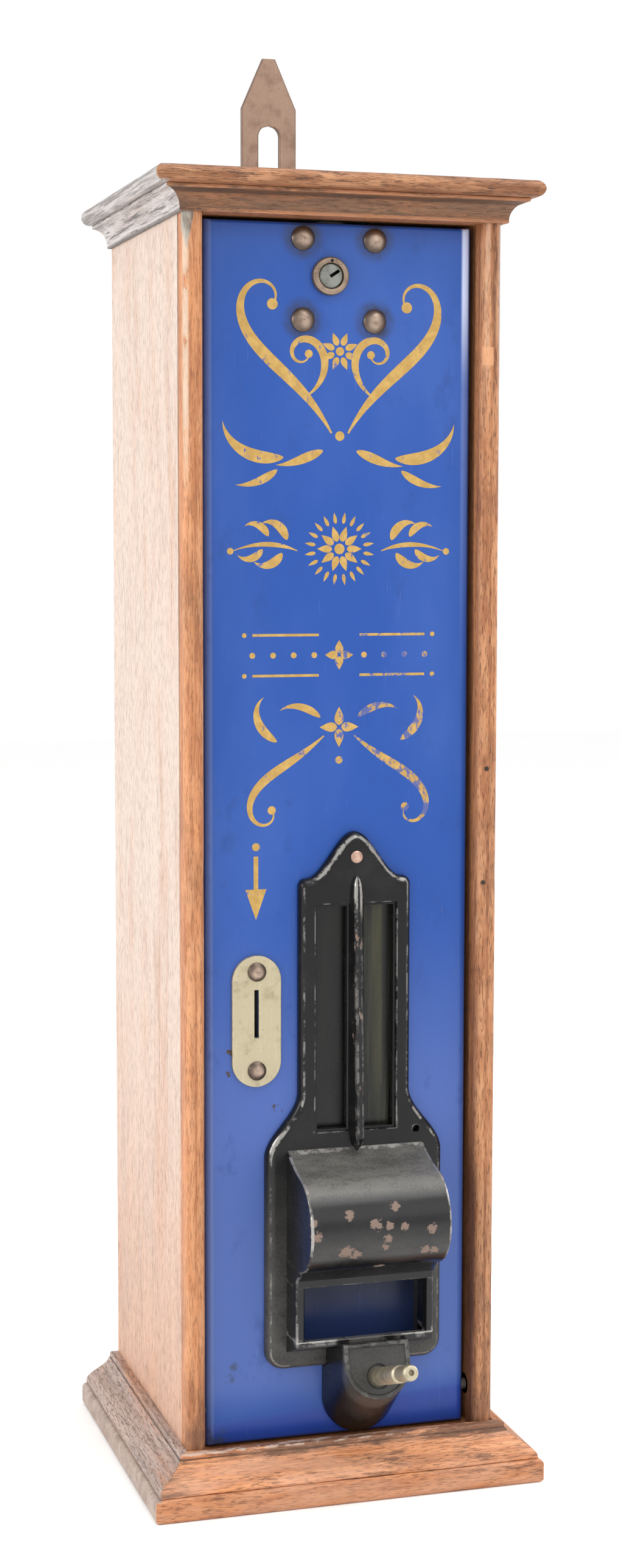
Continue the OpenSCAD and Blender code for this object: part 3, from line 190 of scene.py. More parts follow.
# %% Curves
def ripple(x, seed, longest, waves=6):
    """Sum of sine waves of falling length and height, about -1 to 1, the same for the same seed."""
    pick = np.random.default_rng(seed)
    order = np.arange(1, waves + 1)
    length = longest / order * pick.uniform(0.8, 1.25, waves)
    phase = pick.uniform(0, 2 * np.pi, waves)
    wave = np.sin(2 * np.pi * np.asarray(x, float)[..., None] / length + phase) / np.sqrt(order)
    return wave.sum(-1) / np.sqrt(waves)


def bell(off, width):
    """1 at no distance, falling to 0 over a width: the exponential of minus the square of off over width."""
    return np.exp(-(off / width) ** 2)


def soft_outline(corners, reach, steps=6, margin=1.4):
    """Closed outline with each corner P replaced by the curve (1-t)^2 A + 2t(1-t) P + t^2 B, where A and B
    lie a reach away. Also gives each point's exposure, the turn over a right angle: 1 on a square outer
    corner, -1 in an inner one."""
    p = np.asarray(corners, float)
    back, on = np.roll(p, 1, 0) - p, np.roll(p, -1, 0) - p
    lb, lo = np.linalg.norm(back, axis=1), np.linalg.norm(on, axis=1)
    reach = np.minimum(np.broadcast_to(reach, len(p)), 0.42 * np.minimum(lb, lo))
    ub, uo = back / lb[:, None], on / lo[:, None]
    a, b = p + ub * reach[:, None], p + uo * reach[:, None]
    t = np.linspace(0, 1, steps + 1)[None, :, None]
    curve = (1 - t) ** 2 * a[:, None] + 2 * t * (1 - t) * p[:, None] + t ** 2 * b[:, None]
    before = p + ub * np.minimum(reach + margin, 0.47 * lb)[:, None]
    after = p + uo * np.minimum(reach + margin, 0.47 * lo)[:, None]
    points = np.concatenate([before[:, None], curve, after[:, None]], 1)
    turn = np.arctan2(ub[:, 1] * uo[:, 0] - ub[:, 0] * uo[:, 1], -(ub * uo).sum(1)) / (np.pi / 2)
    area = (p[:, 0] * np.roll(p[:, 1], -1) - np.roll(p[:, 0], -1) * p[:, 1]).sum()
    bare = np.pad(np.ones(steps + 1), 1)[None] * np.clip(turn * np.sign(area), -1, 1)[:, None]
    return points.reshape(-1, 2), bare.reshape(-1)


def lathe(profile, centre, axis, turns=64):
    """Rings about an axis: profile gives each ring's radius and its distance along the axis."""
    profile, across = np.asarray(profile, float), np.array([1.0, 0, 0])
    angle = np.linspace(0, 2 * np.pi, turns, endpoint=False)[:, None]
    circle = np.cos(angle) * across + np.sin(angle) * np.cross(axis, across)
    return np.asarray(centre) + profile[:, 1, None, None] * axis + profile[:, 0, None, None] * circle


def arc(centre, r, start, end, n):
    """Points on a circle from one angle to another, in degrees."""
    a = np.radians(np.linspace(start, end, n))
    return np.stack([centre[0] + r * np.cos(a), centre[1] + r * np.sin(a)], -1)


def line(*stops):
    """Numbers from stop to stop: each stop is (value, steps up to the next one)."""
    runs = [np.linspace(a[0], b[0], a[1], endpoint=False) for a, b in zip(stops[:-1], stops[1:])]
    return np.concatenate(runs + [[stops[-1][0]]])


def chord_half(r, off):
    """Half width of a circle at a distance off its middle: sqrt(r^2 - off^2), and 0 past its edge."""
    return np.sqrt(np.clip(r * r - off * off, 0, None))


def left_of(path):
    """Unit vectors to the left of a flat path: each step turned by a right angle."""
    step = np.gradient(path, axis=0)
    return np.stack([-step[:, 1], step[:, 0]], -1) / np.linalg.norm(step, axis=1, keepdims=True)


print("a ripple over a metre:", np.round(ripple(np.linspace(0, 1, 5), 1, 0.4), 2).tolist())

# %% [markdown]
# Finishes next. A shader is a graph of nodes, but its maths reads better as Python. The class below wraps
# one output socket; + - * / on it add a Math node, and its node method adds any other kind.

# %% Shader sums
class Wire:
    """One output of a node, which adds, subtracts, multiplies and divides as a number does."""

    def __init__(self, tree, socket):
        self.tree, self.socket = tree, socket

    def node(self, kind, settings=None, inputs=None, out=0):
        """Adds a node: its settings first, then a value or a link for each input, by name or number."""
        made = self.tree.nodes.new(kind)
        for key, value in (settings or {}).items():
            setattr(made, key, value)
        for key, value in (inputs or {}).items():
            if isinstance(value, Wire):
                self.tree.links.new(value.socket, made.inputs[key])
            else:
                made.inputs[key].default_value = value
        return Wire(self.tree, made.outputs[out])

    def math(self, operation, a, b=0.0):
        """Adds a Math node on two values."""
        return self.node("ShaderNodeMath", {"operation": operation}, {0: a, 1: b})

    def __add__(self, other):
        return self.math("ADD", self, other)

    def __sub__(self, other):
        return self.math("SUBTRACT", self, other)

    def __rsub__(self, other):
        return self.math("SUBTRACT", other, self)

    def __mul__(self, other):
        return self.math("MULTIPLY", self, other)

    def __truediv__(self, other):
        return self.math("DIVIDE", self, other)

    def __rtruediv__(self, other):
        return self.math("DIVIDE", other, self)

    __radd__, __rmul__ = __add__, __mul__

    def ramp(self, low, high):
        """0 below low, 1 above high, eased between them; high below low turns it round."""
        return self.node("ShaderNodeMapRange", {"interpolation_type": "SMOOTHSTEP"},
                         {"Value": self, "From Min": low, "From Max": high})

    def noise(self, size, stretch=(1, 1, 1), detail=3.0, rough=0.55, shift=0.0):
        """Cloudy value near 0.5 on this coordinate: size in mm, drawn out along each axis by stretch."""
        scale = [1 / (size * MM * s) for s in stretch]
        where = self.node("ShaderNodeMapping", {}, {"Vector": self, "Location": (shift,) * 3, "Scale": scale})
        return self.node("ShaderNodeTexNoise", {},
                         {"Vector": where, "Scale": 1.0, "Detail": detail, "Roughness": rough})

    def off(self, value):
        """How far this value lies from a number, on either side."""
        return self.math("ABSOLUTE", self - value)

    def near(self, point, inner, outer):
        """1 within the inner distance of a point, 0 past the outer one, all in mm."""
        gap = self.node("ShaderNodeVectorMath", {"operation": "DISTANCE"},
                        {0: self, 1: [c * MM for c in point]}, "Value")
        return gap.ramp(outer * MM, inner * MM)

    def axes(self, *wanted):
        """The wanted coordinates in mm."""
        return [self.node("ShaderNodeSeparateXYZ", {}, {0: self}, index) * (1 / MM) for index in wanted]

    def mix(self, first, second):
        """First colour where this value is 0, second where it is 1."""
        full = [c if isinstance(c, Wire) else (*c, 1.0) for c in (first, second)]
        return self.node("ShaderNodeMix", {"data_type": "RGBA"}, {0: self, 6: full[0], 7: full[1]}, 2)


def paint(colour, *coats):
    """Coats over a colour, one after the other: each is a mask and the colour where the mask is 1."""
    for mask, coat in coats:
        colour = mask.mix(colour, coat)
    return colour


def finish(name, gloss=0.5, **fixed):
    """A new material: returns its Object coordinate and a function that links inputs and returns it."""
    material = bpy.data.materials.new(name)
    material.use_nodes = True
    tree = material.node_tree
    shader = tree.nodes["Principled BSDF"]
    for key, value in {"Specular_IOR_Level": gloss, **fixed}.items():
        shader.inputs[key.replace("_", " ")].default_value = value
    place = Wire(tree, tree.nodes.new("ShaderNodeTexCoord").outputs["Object"])

    def connect(bump=None, depth=0.0003, **inputs):
        """Links each input, and the bump through a Bump node of the given depth in metres."""
        for key, value in inputs.items():
            tree.links.new(value.socket, shader.inputs[key.replace("_", " ")])
        if bump is not None:
            normal = place.node("ShaderNodeBump", {}, {"Height": bump, "Strength": 0.6, "Distance": depth})
            tree.links.new(normal.socket, shader.inputs["Normal"])
        return material

    return place, connect


def worn(place):
    """The piece's own wear attribute: 1 on outer edges, -1 in inner corners."""
    return place.node("ShaderNodeAttribute", {"attribute_name": "wear"}, {}, "Fac")


EVEN = (1, 1, 1)
print("shader sums ready")

# %% [markdown]
# Oak. The case is oak with a worn orange-brown varnish: long streaks, dark open pores as short dashes, grime
# in the corners and bare, lighter edges. Stretching the noise along the board's own axis makes the grain,
# so there is one finish for each direction. The left side is paler, partly fading and partly painted light
# from the strong lamp at the left, so that paling is an argument. What happened to one board alone, such
# as a scuff or a crack, is a function of its own, laid on last.

# %% Oak finishes
OAK_LIGHT, OAK_MID, OAK_DARK = (0.60, 0.26, 0.112), (0.40, 0.150, 0.062), (0.085, 0.034, 0.017)
OAK_BARE, OAK_GREY, OAK_FADED_AND_LIT = (0.64, 0.33, 0.17), (0.40, 0.36, 0.345), (0.615, 0.50, 0.425)
OAK_STAIN, OAK_CRACK, OAK_GRIME = (0.17, 0.066, 0.032), (0.10, 0.086, 0.078), (0.045, 0.024, 0.014)


def oak(name, along, tone=1.0, grey=0.0, fade_and_light=None, marks=None):
    """Streaks and pores drawn out along one axis, then stains, greying, fading that is partly painted light,
    worn edges and grime.
    """
    place, connect = finish(name, 0.35)
    open_grain = 0.45 if grey > 0.9 else 0.6 if fade_and_light else 1.0

    def grain(size, length, *detail):
        """Noise drawn out along the board."""
        return place.noise(size, [length if axis == along else 1.0 for axis in range(3)], *detail)

    light, mid, stained = [[c * tone for c in colour] for colour in (OAK_LIGHT, OAK_MID, OAK_STAIN)]
    streak = grain(1.7, 34.0, 5.0, 0.62)
    vein = grain(2.6, 16.0, 4.0, 0.65, 3.1).ramp(0.56, 0.72)
    pores = grain(0.5, 9.0, 2.0, 0.55, 7.7).ramp(0.54, 0.64)
    stain = grain(20.0, 3.5, 5.0, 0.66, 5.3).ramp(0.44, 0.74)
    edge = worn(place)
    rub = edge.ramp(0.2, 0.95) * grain(5.0, 5.0, 4.0, 0.65, 1.7).ramp(0.40, 0.62)
    colour = streak.ramp(0.34, 0.66).mix(mid, light)
    colour = paint(colour, (stain * 0.6, stained), (rub * 0.55, OAK_BARE))
    if grey:
        cracks = grain(1.8, 26.0, 6.0, 0.75, 27.0).ramp(0.52, 0.66)
        colour = paint(colour, (grain(9.0, 12.0, 4.0, 0.6, 9.0).ramp(0.2, 0.5) * grey, OAK_GREY),
                       (cracks * (0.85 * grey), OAK_CRACK))
    if fade_and_light:
        colour = fade_and_light(place, streak).mix(colour, OAK_FADED_AND_LIT)
    colour = paint(colour, (vein * (0.42 * open_grain), OAK_DARK), (pores * (0.60 * open_grain), OAK_DARK),
                   (edge.ramp(-0.15, -0.9) * 0.8, OAK_GRIME))
    if marks:
        colour = marks(place, colour)
    return connect(Base_Color=colour, Roughness=0.42 + streak * 0.16 + pores * 0.15 + rub * 0.1,
                   bump=streak * 0.35 + (1 - pores) * 0.65 - vein * 0.2, depth=0.00028)


print("oak colours from", OAK_LIGHT, "to", OAK_DARK)

# %% [markdown]
# What happened to single boards. Each function below takes a board's colour and lays its marks over it: the
# coordinates say where a mark lies, and a noise makes its edge ragged.

# %% Marks on single boards
def left_fade_and_light(place, streak):
    """The outer left face is paler behind the stile's joint, most at the top, and follows the grain: partly
    fading, partly painted light from the lamp at the left.
    """
    x, y, z = place.axes(0, 1, 2)
    outer = x.ramp(-66.5, -68.6) * y.ramp(-51.5, -49.0)
    worn_off = place.noise(20.0, (1, 1, 5), 4.0, 0.6, 12.0).ramp(0.75, 0.45) * 0.4 + 0.6
    return outer * (z.ramp(0, 260) * 0.55 + 0.43) * worn_off * (0.8 + streak * 0.35)


def left_marks(place, colour):
    """On the left stile a dark joint, a pale corner near the top that is painted highlight on the rounding,
    a wedge of grey filler, a dirty foot.
    """
    x, y, z = place.axes(0, 1, 2)
    rough = place.noise(6.0, (1, 1, 3), 4.0, 0.65, 14.0)
    joint = y.off(-50.3).ramp(1.3, 0.4) * x.ramp(-67, -68.5) * z.ramp(150, 420)
    # Painted highlight: the rounded outer corner is paler near the top.
    corner = x.ramp(-66.4, -67.6) * y.ramp(-57.0, -58.6) * z.ramp(415, 470) * rough.ramp(0.30, 0.46)
    middle = x + 67.4 + (rough - 0.5) * 2.0
    wedge = ((z - 526) * 0.19 - middle.off(0.0)).ramp(-0.4, 0.5) * y.ramp(-55, -57)
    filler = rough.ramp(0.4, 0.6).mix((0.12, 0.12, 0.10), (0.36, 0.34, 0.30))
    foot = z.ramp(70, 26) * y.ramp(-52, -56) * rough.ramp(0.30, 0.60)
    return paint(colour, (joint * (0.35 + rough * 0.8), (0.085, 0.04, 0.022)),
                 (corner * 0.8, (0.60, 0.47, 0.36)), (wedge * 0.85, filler),
                 (foot * 0.75, (0.10, 0.042, 0.024)))


def right_marks(place, colour):
    """On the right stile a pale stripe of painted highlight on the inner rounding and a dark streak high up,
    a plug, nail holes and a dirty foot.
    """
    x, y, z = place.axes(0, 1, 2)
    rough = place.noise(4.0, (1, 1, 6), 4.0, 0.65, 16.0)
    front = y.ramp(-57.0, -58.5)
    high = z.ramp(440, 525) * front
    # Painted highlight on the inner rounding, high up.
    highlight_band = x.off(62.6).ramp(1.6, 0.5) * high * rough.ramp(0.3, 0.6)
    streak = x.off(65.6).ramp(1.3, 0.3) * high * rough.ramp(0.3, 0.55)
    plug = x.off(63.2).ramp(2.5, 1.9) * z.off(486.0).ramp(4.2, 3.4) * front
    nails = [(place.near((at_x, -60.2, at_z), 0.7, 1.5), (0.03, 0.018, 0.012))
             for at_x, at_z in ((63.8, 311.4), (62.6, 262.3))]
    dirt = z.ramp(140, 40) * rough.ramp(0.40, 0.58)
    return paint(colour, (highlight_band * 0.6, (0.66, 0.42, 0.28)), (streak * 0.8, (0.11, 0.045, 0.025)),
                 (x.ramp(66.4, 68.2) * high * 0.6, (0.30, 0.25, 0.22)), (plug * 0.8, (0.66, 0.33, 0.17)),
                 *nails, (dirt * 0.42, (0.10, 0.055, 0.035)))


def top_marks(place, colour):
    """The top board's left end has weathered grey in fine lines; knocks left dark dashes along its front."""
    x, y = place.axes(0, 1)
    lines = place.noise(1.3, (1, 28, 1), 5.0, 0.7, 18.0).ramp(0.38, 0.58)
    grey = lines.mix((0.50, 0.46, 0.445), (0.21, 0.19, 0.18))
    dash = place.noise(2.2, (7, 1, 1), 4.0, 0.65, 19.0).ramp(0.58, 0.66) * x.ramp(-81, -78)
    return paint(colour, (x.ramp(-76.8, -78.6) * y.ramp(-73.6, -71.4), grey),
                 (dash * 0.8, (0.05, 0.026, 0.018)))


def base_marks(place, colour):
    """A pale wash and dark scuffs along the base, thickest on its upper edge and right end, a crust where it
    meets the front, a darker plinth, soot at the ledge and the left mitre; the left end is grey-brown."""
    x, y, z = place.axes(0, 1, 2)
    faces = x.off(0.0).ramp(86.4, 85.4)
    wash = place.noise(11.0, (4, 1, 1), 4.0, 0.6, 34.0).ramp(0.35, 0.65) * faces
    scuff = place.noise(7.0, (4.5, 1, 1), 6.0, 0.72, 28.0)
    heavy = z.ramp(19, 23) * 0.10 + x.ramp(35, 85) * 0.06
    crust = place.noise(2.6, (3, 1, 1), 5.0, 0.7, 29.0).ramp(0.47, 0.54) * z.ramp(22.6, 23.7) * x.ramp(40, 5)
    soot = z.off(21.0).ramp(1.5, 0.4) * 0.5 + x.ramp(-64, -80) * z.ramp(10.2, 11.0) * 0.7
    grey = scuff.ramp(0.35, 0.65).mix((0.42, 0.35, 0.31), (0.27, 0.22, 0.19))
    return paint(colour, (wash * 0.45, (0.74, 0.44, 0.30)),
                 ((scuff + heavy).ramp(0.55, 0.67) * faces * 0.75, (0.105, 0.05, 0.032)),
                 (crust * 0.8, (0.62, 0.47, 0.38)), (z.ramp(10.5, 9.0) * 0.27, (0.22, 0.06, 0.02)),
                 (soot * scuff.ramp(0.36, 0.58), (0.105, 0.06, 0.042)),
                 (x.ramp(-83.4, -84.6) * y.ramp(-77.5, -76.7) * 0.88, grey))


def cornice_marks(place, colour):
    """A brown film, dark scuffs and redder dashes along the cornice, a dark line of painted shadow under the
    top board and two rubbed rims.
    """
    z, = place.axes(2)
    scuff = place.noise(8.0, (4, 1, 1), 6.0, 0.72, 36.0)
    film = place.noise(5.0, (6, 1, 1), 5.0, 0.7, 38.0).ramp(0.32, 0.62)
    rims = (z.ramp(549.3, 549.8) + z.ramp(542.6, 542.0)) * scuff.ramp(0.62, 0.44)
    return paint(colour, (film * 0.62, (0.11, 0.077, 0.054)),
                 (scuff.ramp(0.50, 0.64) * 0.6, (0.085, 0.042, 0.028)),
                 (scuff.ramp(0.36, 0.28) * 0.7, (0.46, 0.19, 0.09)),
                 # Painted shadow: the dark line under the top board's overhang.
                 (z.off(548.7).ramp(1.0, 0.3) * 0.65, (0.045, 0.026, 0.018)),
                 (rims * 0.75, (0.47, 0.20, 0.095)))


def left_base_marks(place, colour):
    """Long brown smears and fine cracks along the left base moulding."""
    smear = place.noise(6.0, (1, 16, 1), 5.0, 0.66, 30.0).ramp(0.42, 0.68)
    crack = place.noise(1.0, (1, 35, 1), 5.0, 0.7, 40.0).ramp(0.56, 0.63)
    return paint(colour, (smear * 0.6, (0.19, 0.125, 0.09)), (crack * 0.55, (0.09, 0.06, 0.046)))


def left_cornice_marks(place, colour):
    """Bleached patches, fine black cracks and a dark lower edge on the left cornice, which is painted shadow
    where it meets the side.
    """
    z, = place.axes(2)
    pale = place.noise(4.0, (1, 14, 1), 4.0, 0.6, 41.0).ramp(0.42, 0.60)
    crack = place.noise(1.0, (1, 30, 1), 5.0, 0.7, 39.0).ramp(0.53, 0.60)
    return paint(colour, (pale * 0.6, (0.60, 0.56, 0.54)), (crack * 0.8, (0.075, 0.066, 0.06)),
                 # Painted shadow along the lower edge, where the cornice meets the side.
                 (z.ramp(542.4, 541.4) * 0.75, (0.09, 0.08, 0.075)))


oaks = {name: oak("oak_" + name, *choice) for name, choice in {
    "upright_left": (2, 1.0, 0.0, left_fade_and_light, left_marks), "upright_right": (2, 0.86, 0.0, None, right_marks),
    "base": (0, 1.3, 0.0, None, base_marks), "cornice": (0, 0.62, 0.0, None, cornice_marks),
    "top_board": (0, 0.55, 0.0, None, top_marks), "left_weathered": (1, 1.0, 0.97, None, left_cornice_marks),
    "left_base": (1, 1.0, 0.72, None, left_base_marks), "right_side": (1, 0.9), "inside": (2, 0.75)}.items()}
print(len(oaks), "oak finishes")

# %% [markdown]
# The boards and mouldings are a section carried along a line. A century of knocks took the edges
# down unevenly, so each station draws the exposed points in by a ripple before it is placed.

# %% Side boards
base_low, base_high = span_of("base_plinth")
side_low, side_high = span_of("side_board_right")
top_low, top_high = span_of("top_board")
rail_low, rail_high = span_of("top_rail")
INNER_X, HALF, Y_FRONT, Y_BACK = side_low[0], side_high[0], side_low[1], side_high[1]
PLINTH_TOP, MOULD_TOP, MITRE_GAP = base_high[2], span_of("base_moulding_front")[1][2], 0.05


def carried(section, place_at, stations, seed, knock, core=None):
    """Rings of a section at each station, exposed points drawn in by a ripple of the distance along.
    The ends close on the core, a point of the section that sees its whole outline."""
    outline, bare = section
    t = np.linspace(0, 1, stations)[:, None]
    inward = outline.mean(0) - outline
    inward = inward / np.linalg.norm(inward, axis=1, keepdims=True)
    dent = np.clip(ripple(t, seed, 0.35, 9), 0, None) * knock * np.clip(bare, 0, 1)
    bent = outline + inward * dent[..., None]
    cores = None if core is None else place_at(core[0], core[1], t[[0, -1]])[:, 0]
    return tube(place_at(bent[..., 0], bent[..., 1], t), cores), np.pad(np.tile(bare, stations), len(bare))


def upright(x0, x1, radii):
    """Section of a side board in plan, its two front corners rounded."""
    corners = [(x0, Y_FRONT), (x1, Y_FRONT), (x1, Y_BACK), (x0, Y_BACK)]
    return soft_outline(corners, [1.35 * r for r in radii] + [0.4, 0.4], 8)


def stand(x, y, t):
    """Up a side board: the height is its foot plus a share of its length."""
    return at_points(x, y, side_low[2] + (side_high[2] - side_low[2]) * t)


for label, section, seed in (("right", upright(INNER_X, HALF, (2.5, 3.5)), 11),
                             ("left", upright(-HALF, -INNER_X, (3.5, 2.5)), 12)):
    shape, wear = carried(section, stand, 180, seed, 0.35)
    make_piece("oak_side_" + label, shape, "cabinet", "oak", oaks["upright_" + label],
               ["side_board_" + label], wear)

# %% [markdown]
# The mouldings go round three sides and meet in mitres. Two sections, an S curve for the base and a hollow
# for the cornice, are carried along the front and along each side.

# %% Mouldings
def front_run(out, z, t):
    """Across the front: the ends run out with the section, which is the mitre."""
    return at_points((2 * t - 1) * (HALF + out - MITRE_GAP), Y_FRONT - out, z)


def side_run(side):
    """Along one side, from the mitre at the front to the wall."""
    def place_at(out, z, t):
        """The section moved out to the side, and back from the mitre by a share of the way to the wall."""
        start = Y_FRONT - out + MITRE_GAP
        return at_points(side * (HALF + out), start + (Y_BACK - start) * t, z)
    return place_at


def ogee_section():
    """Base moulding: a foot, an S curve and a square fillet under the ledge."""
    out, ledge = 15.5, 4.0
    t = np.linspace(0, 1, 9)
    neck = ledge + 0.6
    curve = np.stack([neck + (out - neck) * (1 + np.cos(np.pi * t)) / 2, PLINTH_TOP + 1.5 + 10.0 * t], -1)
    corners = np.concatenate([[[0, PLINTH_TOP], [out, PLINTH_TOP]], curve,
                              [[ledge, MOULD_TOP - 2.5], [ledge, MOULD_TOP], [0, MOULD_TOP]]])
    return soft_outline(corners, [0.1, 0.7] + [0.5] * 9 + [0.3, 0.8, 0.1], 4, 0.8)


def cove_section():
    """Cornice: a small lip, a hollow and a fillet under the top board."""
    low, high, out, lip = rail_low[2], rail_high[2], 9.0, 2.0
    a = np.radians(np.linspace(0, 90, 9))
    curve = np.stack([out - (out - lip) * np.cos(a), low + 1.2 + 7.3 * np.sin(a)], -1)
    corners = np.concatenate([[[0, low], [lip, low]], curve, [[out, high], [0, high]]])
    return soft_outline(corners, [0.1, 0.5] + [0.5] * 9 + [0.4, 0.1], 4, 0.8)


for label, runner, base_oak, cap_oak in (("front", front_run, "base", "cornice"),
                                         ("left", side_run(-1), "left_base", "left_weathered"),
                                         ("right", side_run(1), "right_side", "right_side")):
    shape, wear = carried(ogee_section(), runner, 90, len(label), 0.3, (0.5, PLINTH_TOP + 0.5))
    make_piece("base_ogee_" + label, shape, "cabinet", "oak", oaks[base_oak],
               ["base_moulding_" + label], wear)
    shape, wear = carried(cove_section(), runner, 90, 20 + len(label), 0.25, (0.5, rail_high[2] - 0.4))
    make_piece("cornice_cove_" + label, shape, "cabinet", "oak", oaks[cap_oak], ["cornice_" + label], wear)

# %% [markdown]
# The plinth and the top board are flat boards with rounded edges on three sides. As a height over a plan
# grid, the edge is a quarter circle of the distance to the nearest edge, above and below.

# %% Plinth and top board
def edged_board(low, high, r, seed, notch=None):
    """Top and bottom heights over a plan grid, both drawn in by r - sqrt(r^2 - (r-e)^2), where e is
    the distance to the nearest of three edges. A notch in the back edge, from x to x and in to a depth y, is
    cells left out."""
    x0, x1, depth = (low[0], low[0], high[1]) if notch is None else notch
    near_edge = r * (1 - np.cos(np.linspace(0, np.pi / 2, 9)))
    x = np.unique(np.concatenate([low[0] + near_edge, np.linspace(low[0] + r, high[0] - r, 90)[1:-1],
                                  high[0] - near_edge, [x0, x1]]))
    y = np.unique(np.concatenate([low[1] + near_edge, np.linspace(low[1] + r, high[1], 60)[1:], [depth]]))
    gx, gy = np.meshgrid(x, y)
    e = np.minimum(np.minimum(gx - low[0], high[0] - gx), gy - low[1])
    drop = r - chord_half(r, np.clip(r - e, 0, None))
    knock = 0.3 * np.clip(ripple(gx + 2 * gy, seed, 120, 8), 0, None) * np.exp(-e / 3)
    cx, cy = (x[1:] + x[:-1]) / 2, (y[1:] + y[:-1])[:, None] / 2
    kept = ~((cy > depth) & (cx > x0) & (cx < x1))
    top, bottom = [at_points(gx, gy, z) for z in (high[2] - drop - knock, low[2] + drop)]
    return slab(top, bottom, kept), np.exp(-e / 2.0)


hang_low, hang_high = span_of("hanger_strip")
ROOM = 0.1
notch = (hang_low[0] - ROOM, hang_high[0] + ROOM, hang_low[1] - ROOM)
for name, board, coat, node in (
        ("oak_plinth", edged_board(base_low, base_high, 1.8, 31), "base", "base_plinth"),
        ("oak_top", edged_board(top_low, top_high, (top_high[2] - top_low[2]) / 2, 32, notch), "top_board",
         "top_board")):
    make_piece(name, board[0], "cabinet", "oak", oaks[coat], [node], board[1])

# %% [markdown]
# Metal finishes. Each is a base colour with tarnish clouds, fine scratches and darker spots; the wear
# attribute brightens rubbed edges. A function makes them, because only colours and amounts differ.

# %% Metal finishes
def old_metal(name, clean, tarnish, rough, amount, grain=EVEN, metallic=0.9, marks=None):
    """Clean colour under clouds of tarnish, with scratches drawn out along the grain and rubbed edges."""
    place, connect = finish(name)
    cloud = place.noise(7.0, EVEN, 5.0, 0.65).ramp(0.62 - amount * 0.4, 0.72)
    scratch = place.noise(0.5, grain, 2.0, 0.5, 2.0).ramp(0.6, 0.72)
    speck = place.noise(1.3, EVEN, 3.0, 0.7, 8.0).ramp(0.62, 0.74)
    rub = worn(place).ramp(0.3, 1.0) * place.noise(3.0, EVEN, 3.0, 0.6, 4.0).ramp(0.3, 0.6)
    colour = paint(cloud.mix(clean, tarnish), (scratch * 0.3, [min(1.0, c * 1.35) for c in clean]),
                   (speck * 0.55, [c * 0.45 for c in tarnish]),
                   (rub * 0.6, [min(1.0, c * 1.5) for c in clean]))
    if marks:
        colour = marks(place, colour)
    return connect(Base_Color=colour, Roughness=rough + cloud * 0.16 - scratch * 0.08,
                   Metallic=metallic - cloud * 0.35 - speck * 0.2,
                   bump=scratch * 0.3 + speck * 0.5, depth=0.00008)


def strip_marks(place, colour):
    """Slanting scratches on the hanger and a dark line along its edges."""
    slant = place.node("ShaderNodeMapping", {}, {"Vector": place, "Rotation": (0, 0.75, 0)})
    scored = slant.noise(1.6, (22, 1, 1), 2.0, 0.5, 31.0).ramp(0.70, 0.75)
    return paint(colour, (scored * 0.55, (0.52, 0.41, 0.33)),
                 (worn(place).ramp(0.25, 0.9) * 0.7, (0.085, 0.055, 0.04)))


def slot_shadow(place, colour):
    """Everything behind the plug's face is dark, so the key slot reads black."""
    y, = place.axes(1)
    return y.ramp(-54.25, -53.95).mix(colour, (0.004, 0.004, 0.004))


def head_painted_shade(place, colour):
    """Painted shade: each head darkens from its crown down to its rim, so the dome reads round."""
    return (worn(place).ramp(0.7, 0.02) * 0.72).mix(colour, (0.045, 0.034, 0.027))


def ring_notch(place, colour):
    """A small locking notch at the top of the ring."""
    return place.near((-4.4, -55.0, 523.9), 0.5, 1.0).mix(colour, (0.01, 0.008, 0.006))


metals = {name: old_metal(name, *choice) for name, choice in {
    "bolt_steel": ((0.36, 0.27, 0.21), (0.15, 0.10, 0.075), 0.28, 0.7, EVEN, 0.9, head_painted_shade),
    "hanger_steel": ((0.335, 0.225, 0.168), (0.27, 0.172, 0.124), 0.46, 0.45, (1, 1, 14), 0.9, strip_marks),
    "plain_steel": ((0.38, 0.36, 0.33), (0.20, 0.16, 0.13), 0.4, 0.4, (1, 8, 1)),
    "tin_plate": ((0.43, 0.43, 0.40), (0.37, 0.36, 0.33), 0.42, 0.4, (1, 1, 10)),
    "plunger_brass": ((0.41, 0.365, 0.265), (0.27, 0.23, 0.155), 0.45, 0.5),
    "ring_brass": ((0.255, 0.19, 0.142), (0.14, 0.095, 0.067), 0.38, 0.5, EVEN, 0.9, ring_notch),
    "plug_nickel": ((0.25, 0.26, 0.235), (0.15, 0.15, 0.13), 0.42, 0.5, (10, 1, 1), 0.9, slot_shadow),
    "slot_nickel": ((0.50, 0.435, 0.295), (0.385, 0.325, 0.205), 0.44, 0.3, (1, 1, 16), 0.7),
    "rivet_copper": ((0.50, 0.33, 0.26), (0.30, 0.18, 0.13), 0.4, 0.5),
    "raw_iron": ((0.14, 0.12, 0.11), (0.09, 0.07, 0.06), 0.6, 0.5)}.items()}
print(len(metals), "metals")

# %% [markdown]
# The hanger strip is flat bar with a blunt point and a long slot. Each row of the grid knows its half width
# and the slot's half width, so the outline is two functions of the height and the slot is a mask.

# %% Hanger strip
def strip(rows, half, slot, x_mid, y_front, y_back, round_off=0.5):
    """Plate from two half widths for each row, the outline's and the slot's; round_off eases its edges."""
    t = line((0, 3), (0.06, 3), (0.12, 5), (0.9, 3), (0.96, 3), (1, 0))
    x = slot[:, None] + (half - slot)[:, None] * t
    x = np.concatenate([-x[:, ::-1], x], 1)
    e = np.minimum(half[:, None] - abs(x), np.where(slot[:, None] > 0, abs(x) - slot[:, None], 9.0))
    ease = round_off * (1 - np.clip(e / round_off, 0, 1)) ** 2 * 0.6
    front, back = [at_points(x_mid + x, y, rows[:, None]) for y in (y_front + ease, y_back)]
    kept = np.ones((len(rows) - 1, x.shape[1] - 1), bool)
    kept[:, len(t) - 1] = (slot[1:] == 0) & (slot[:-1] == 0)
    return slab(front, back, kept), np.exp(-e / 0.8)


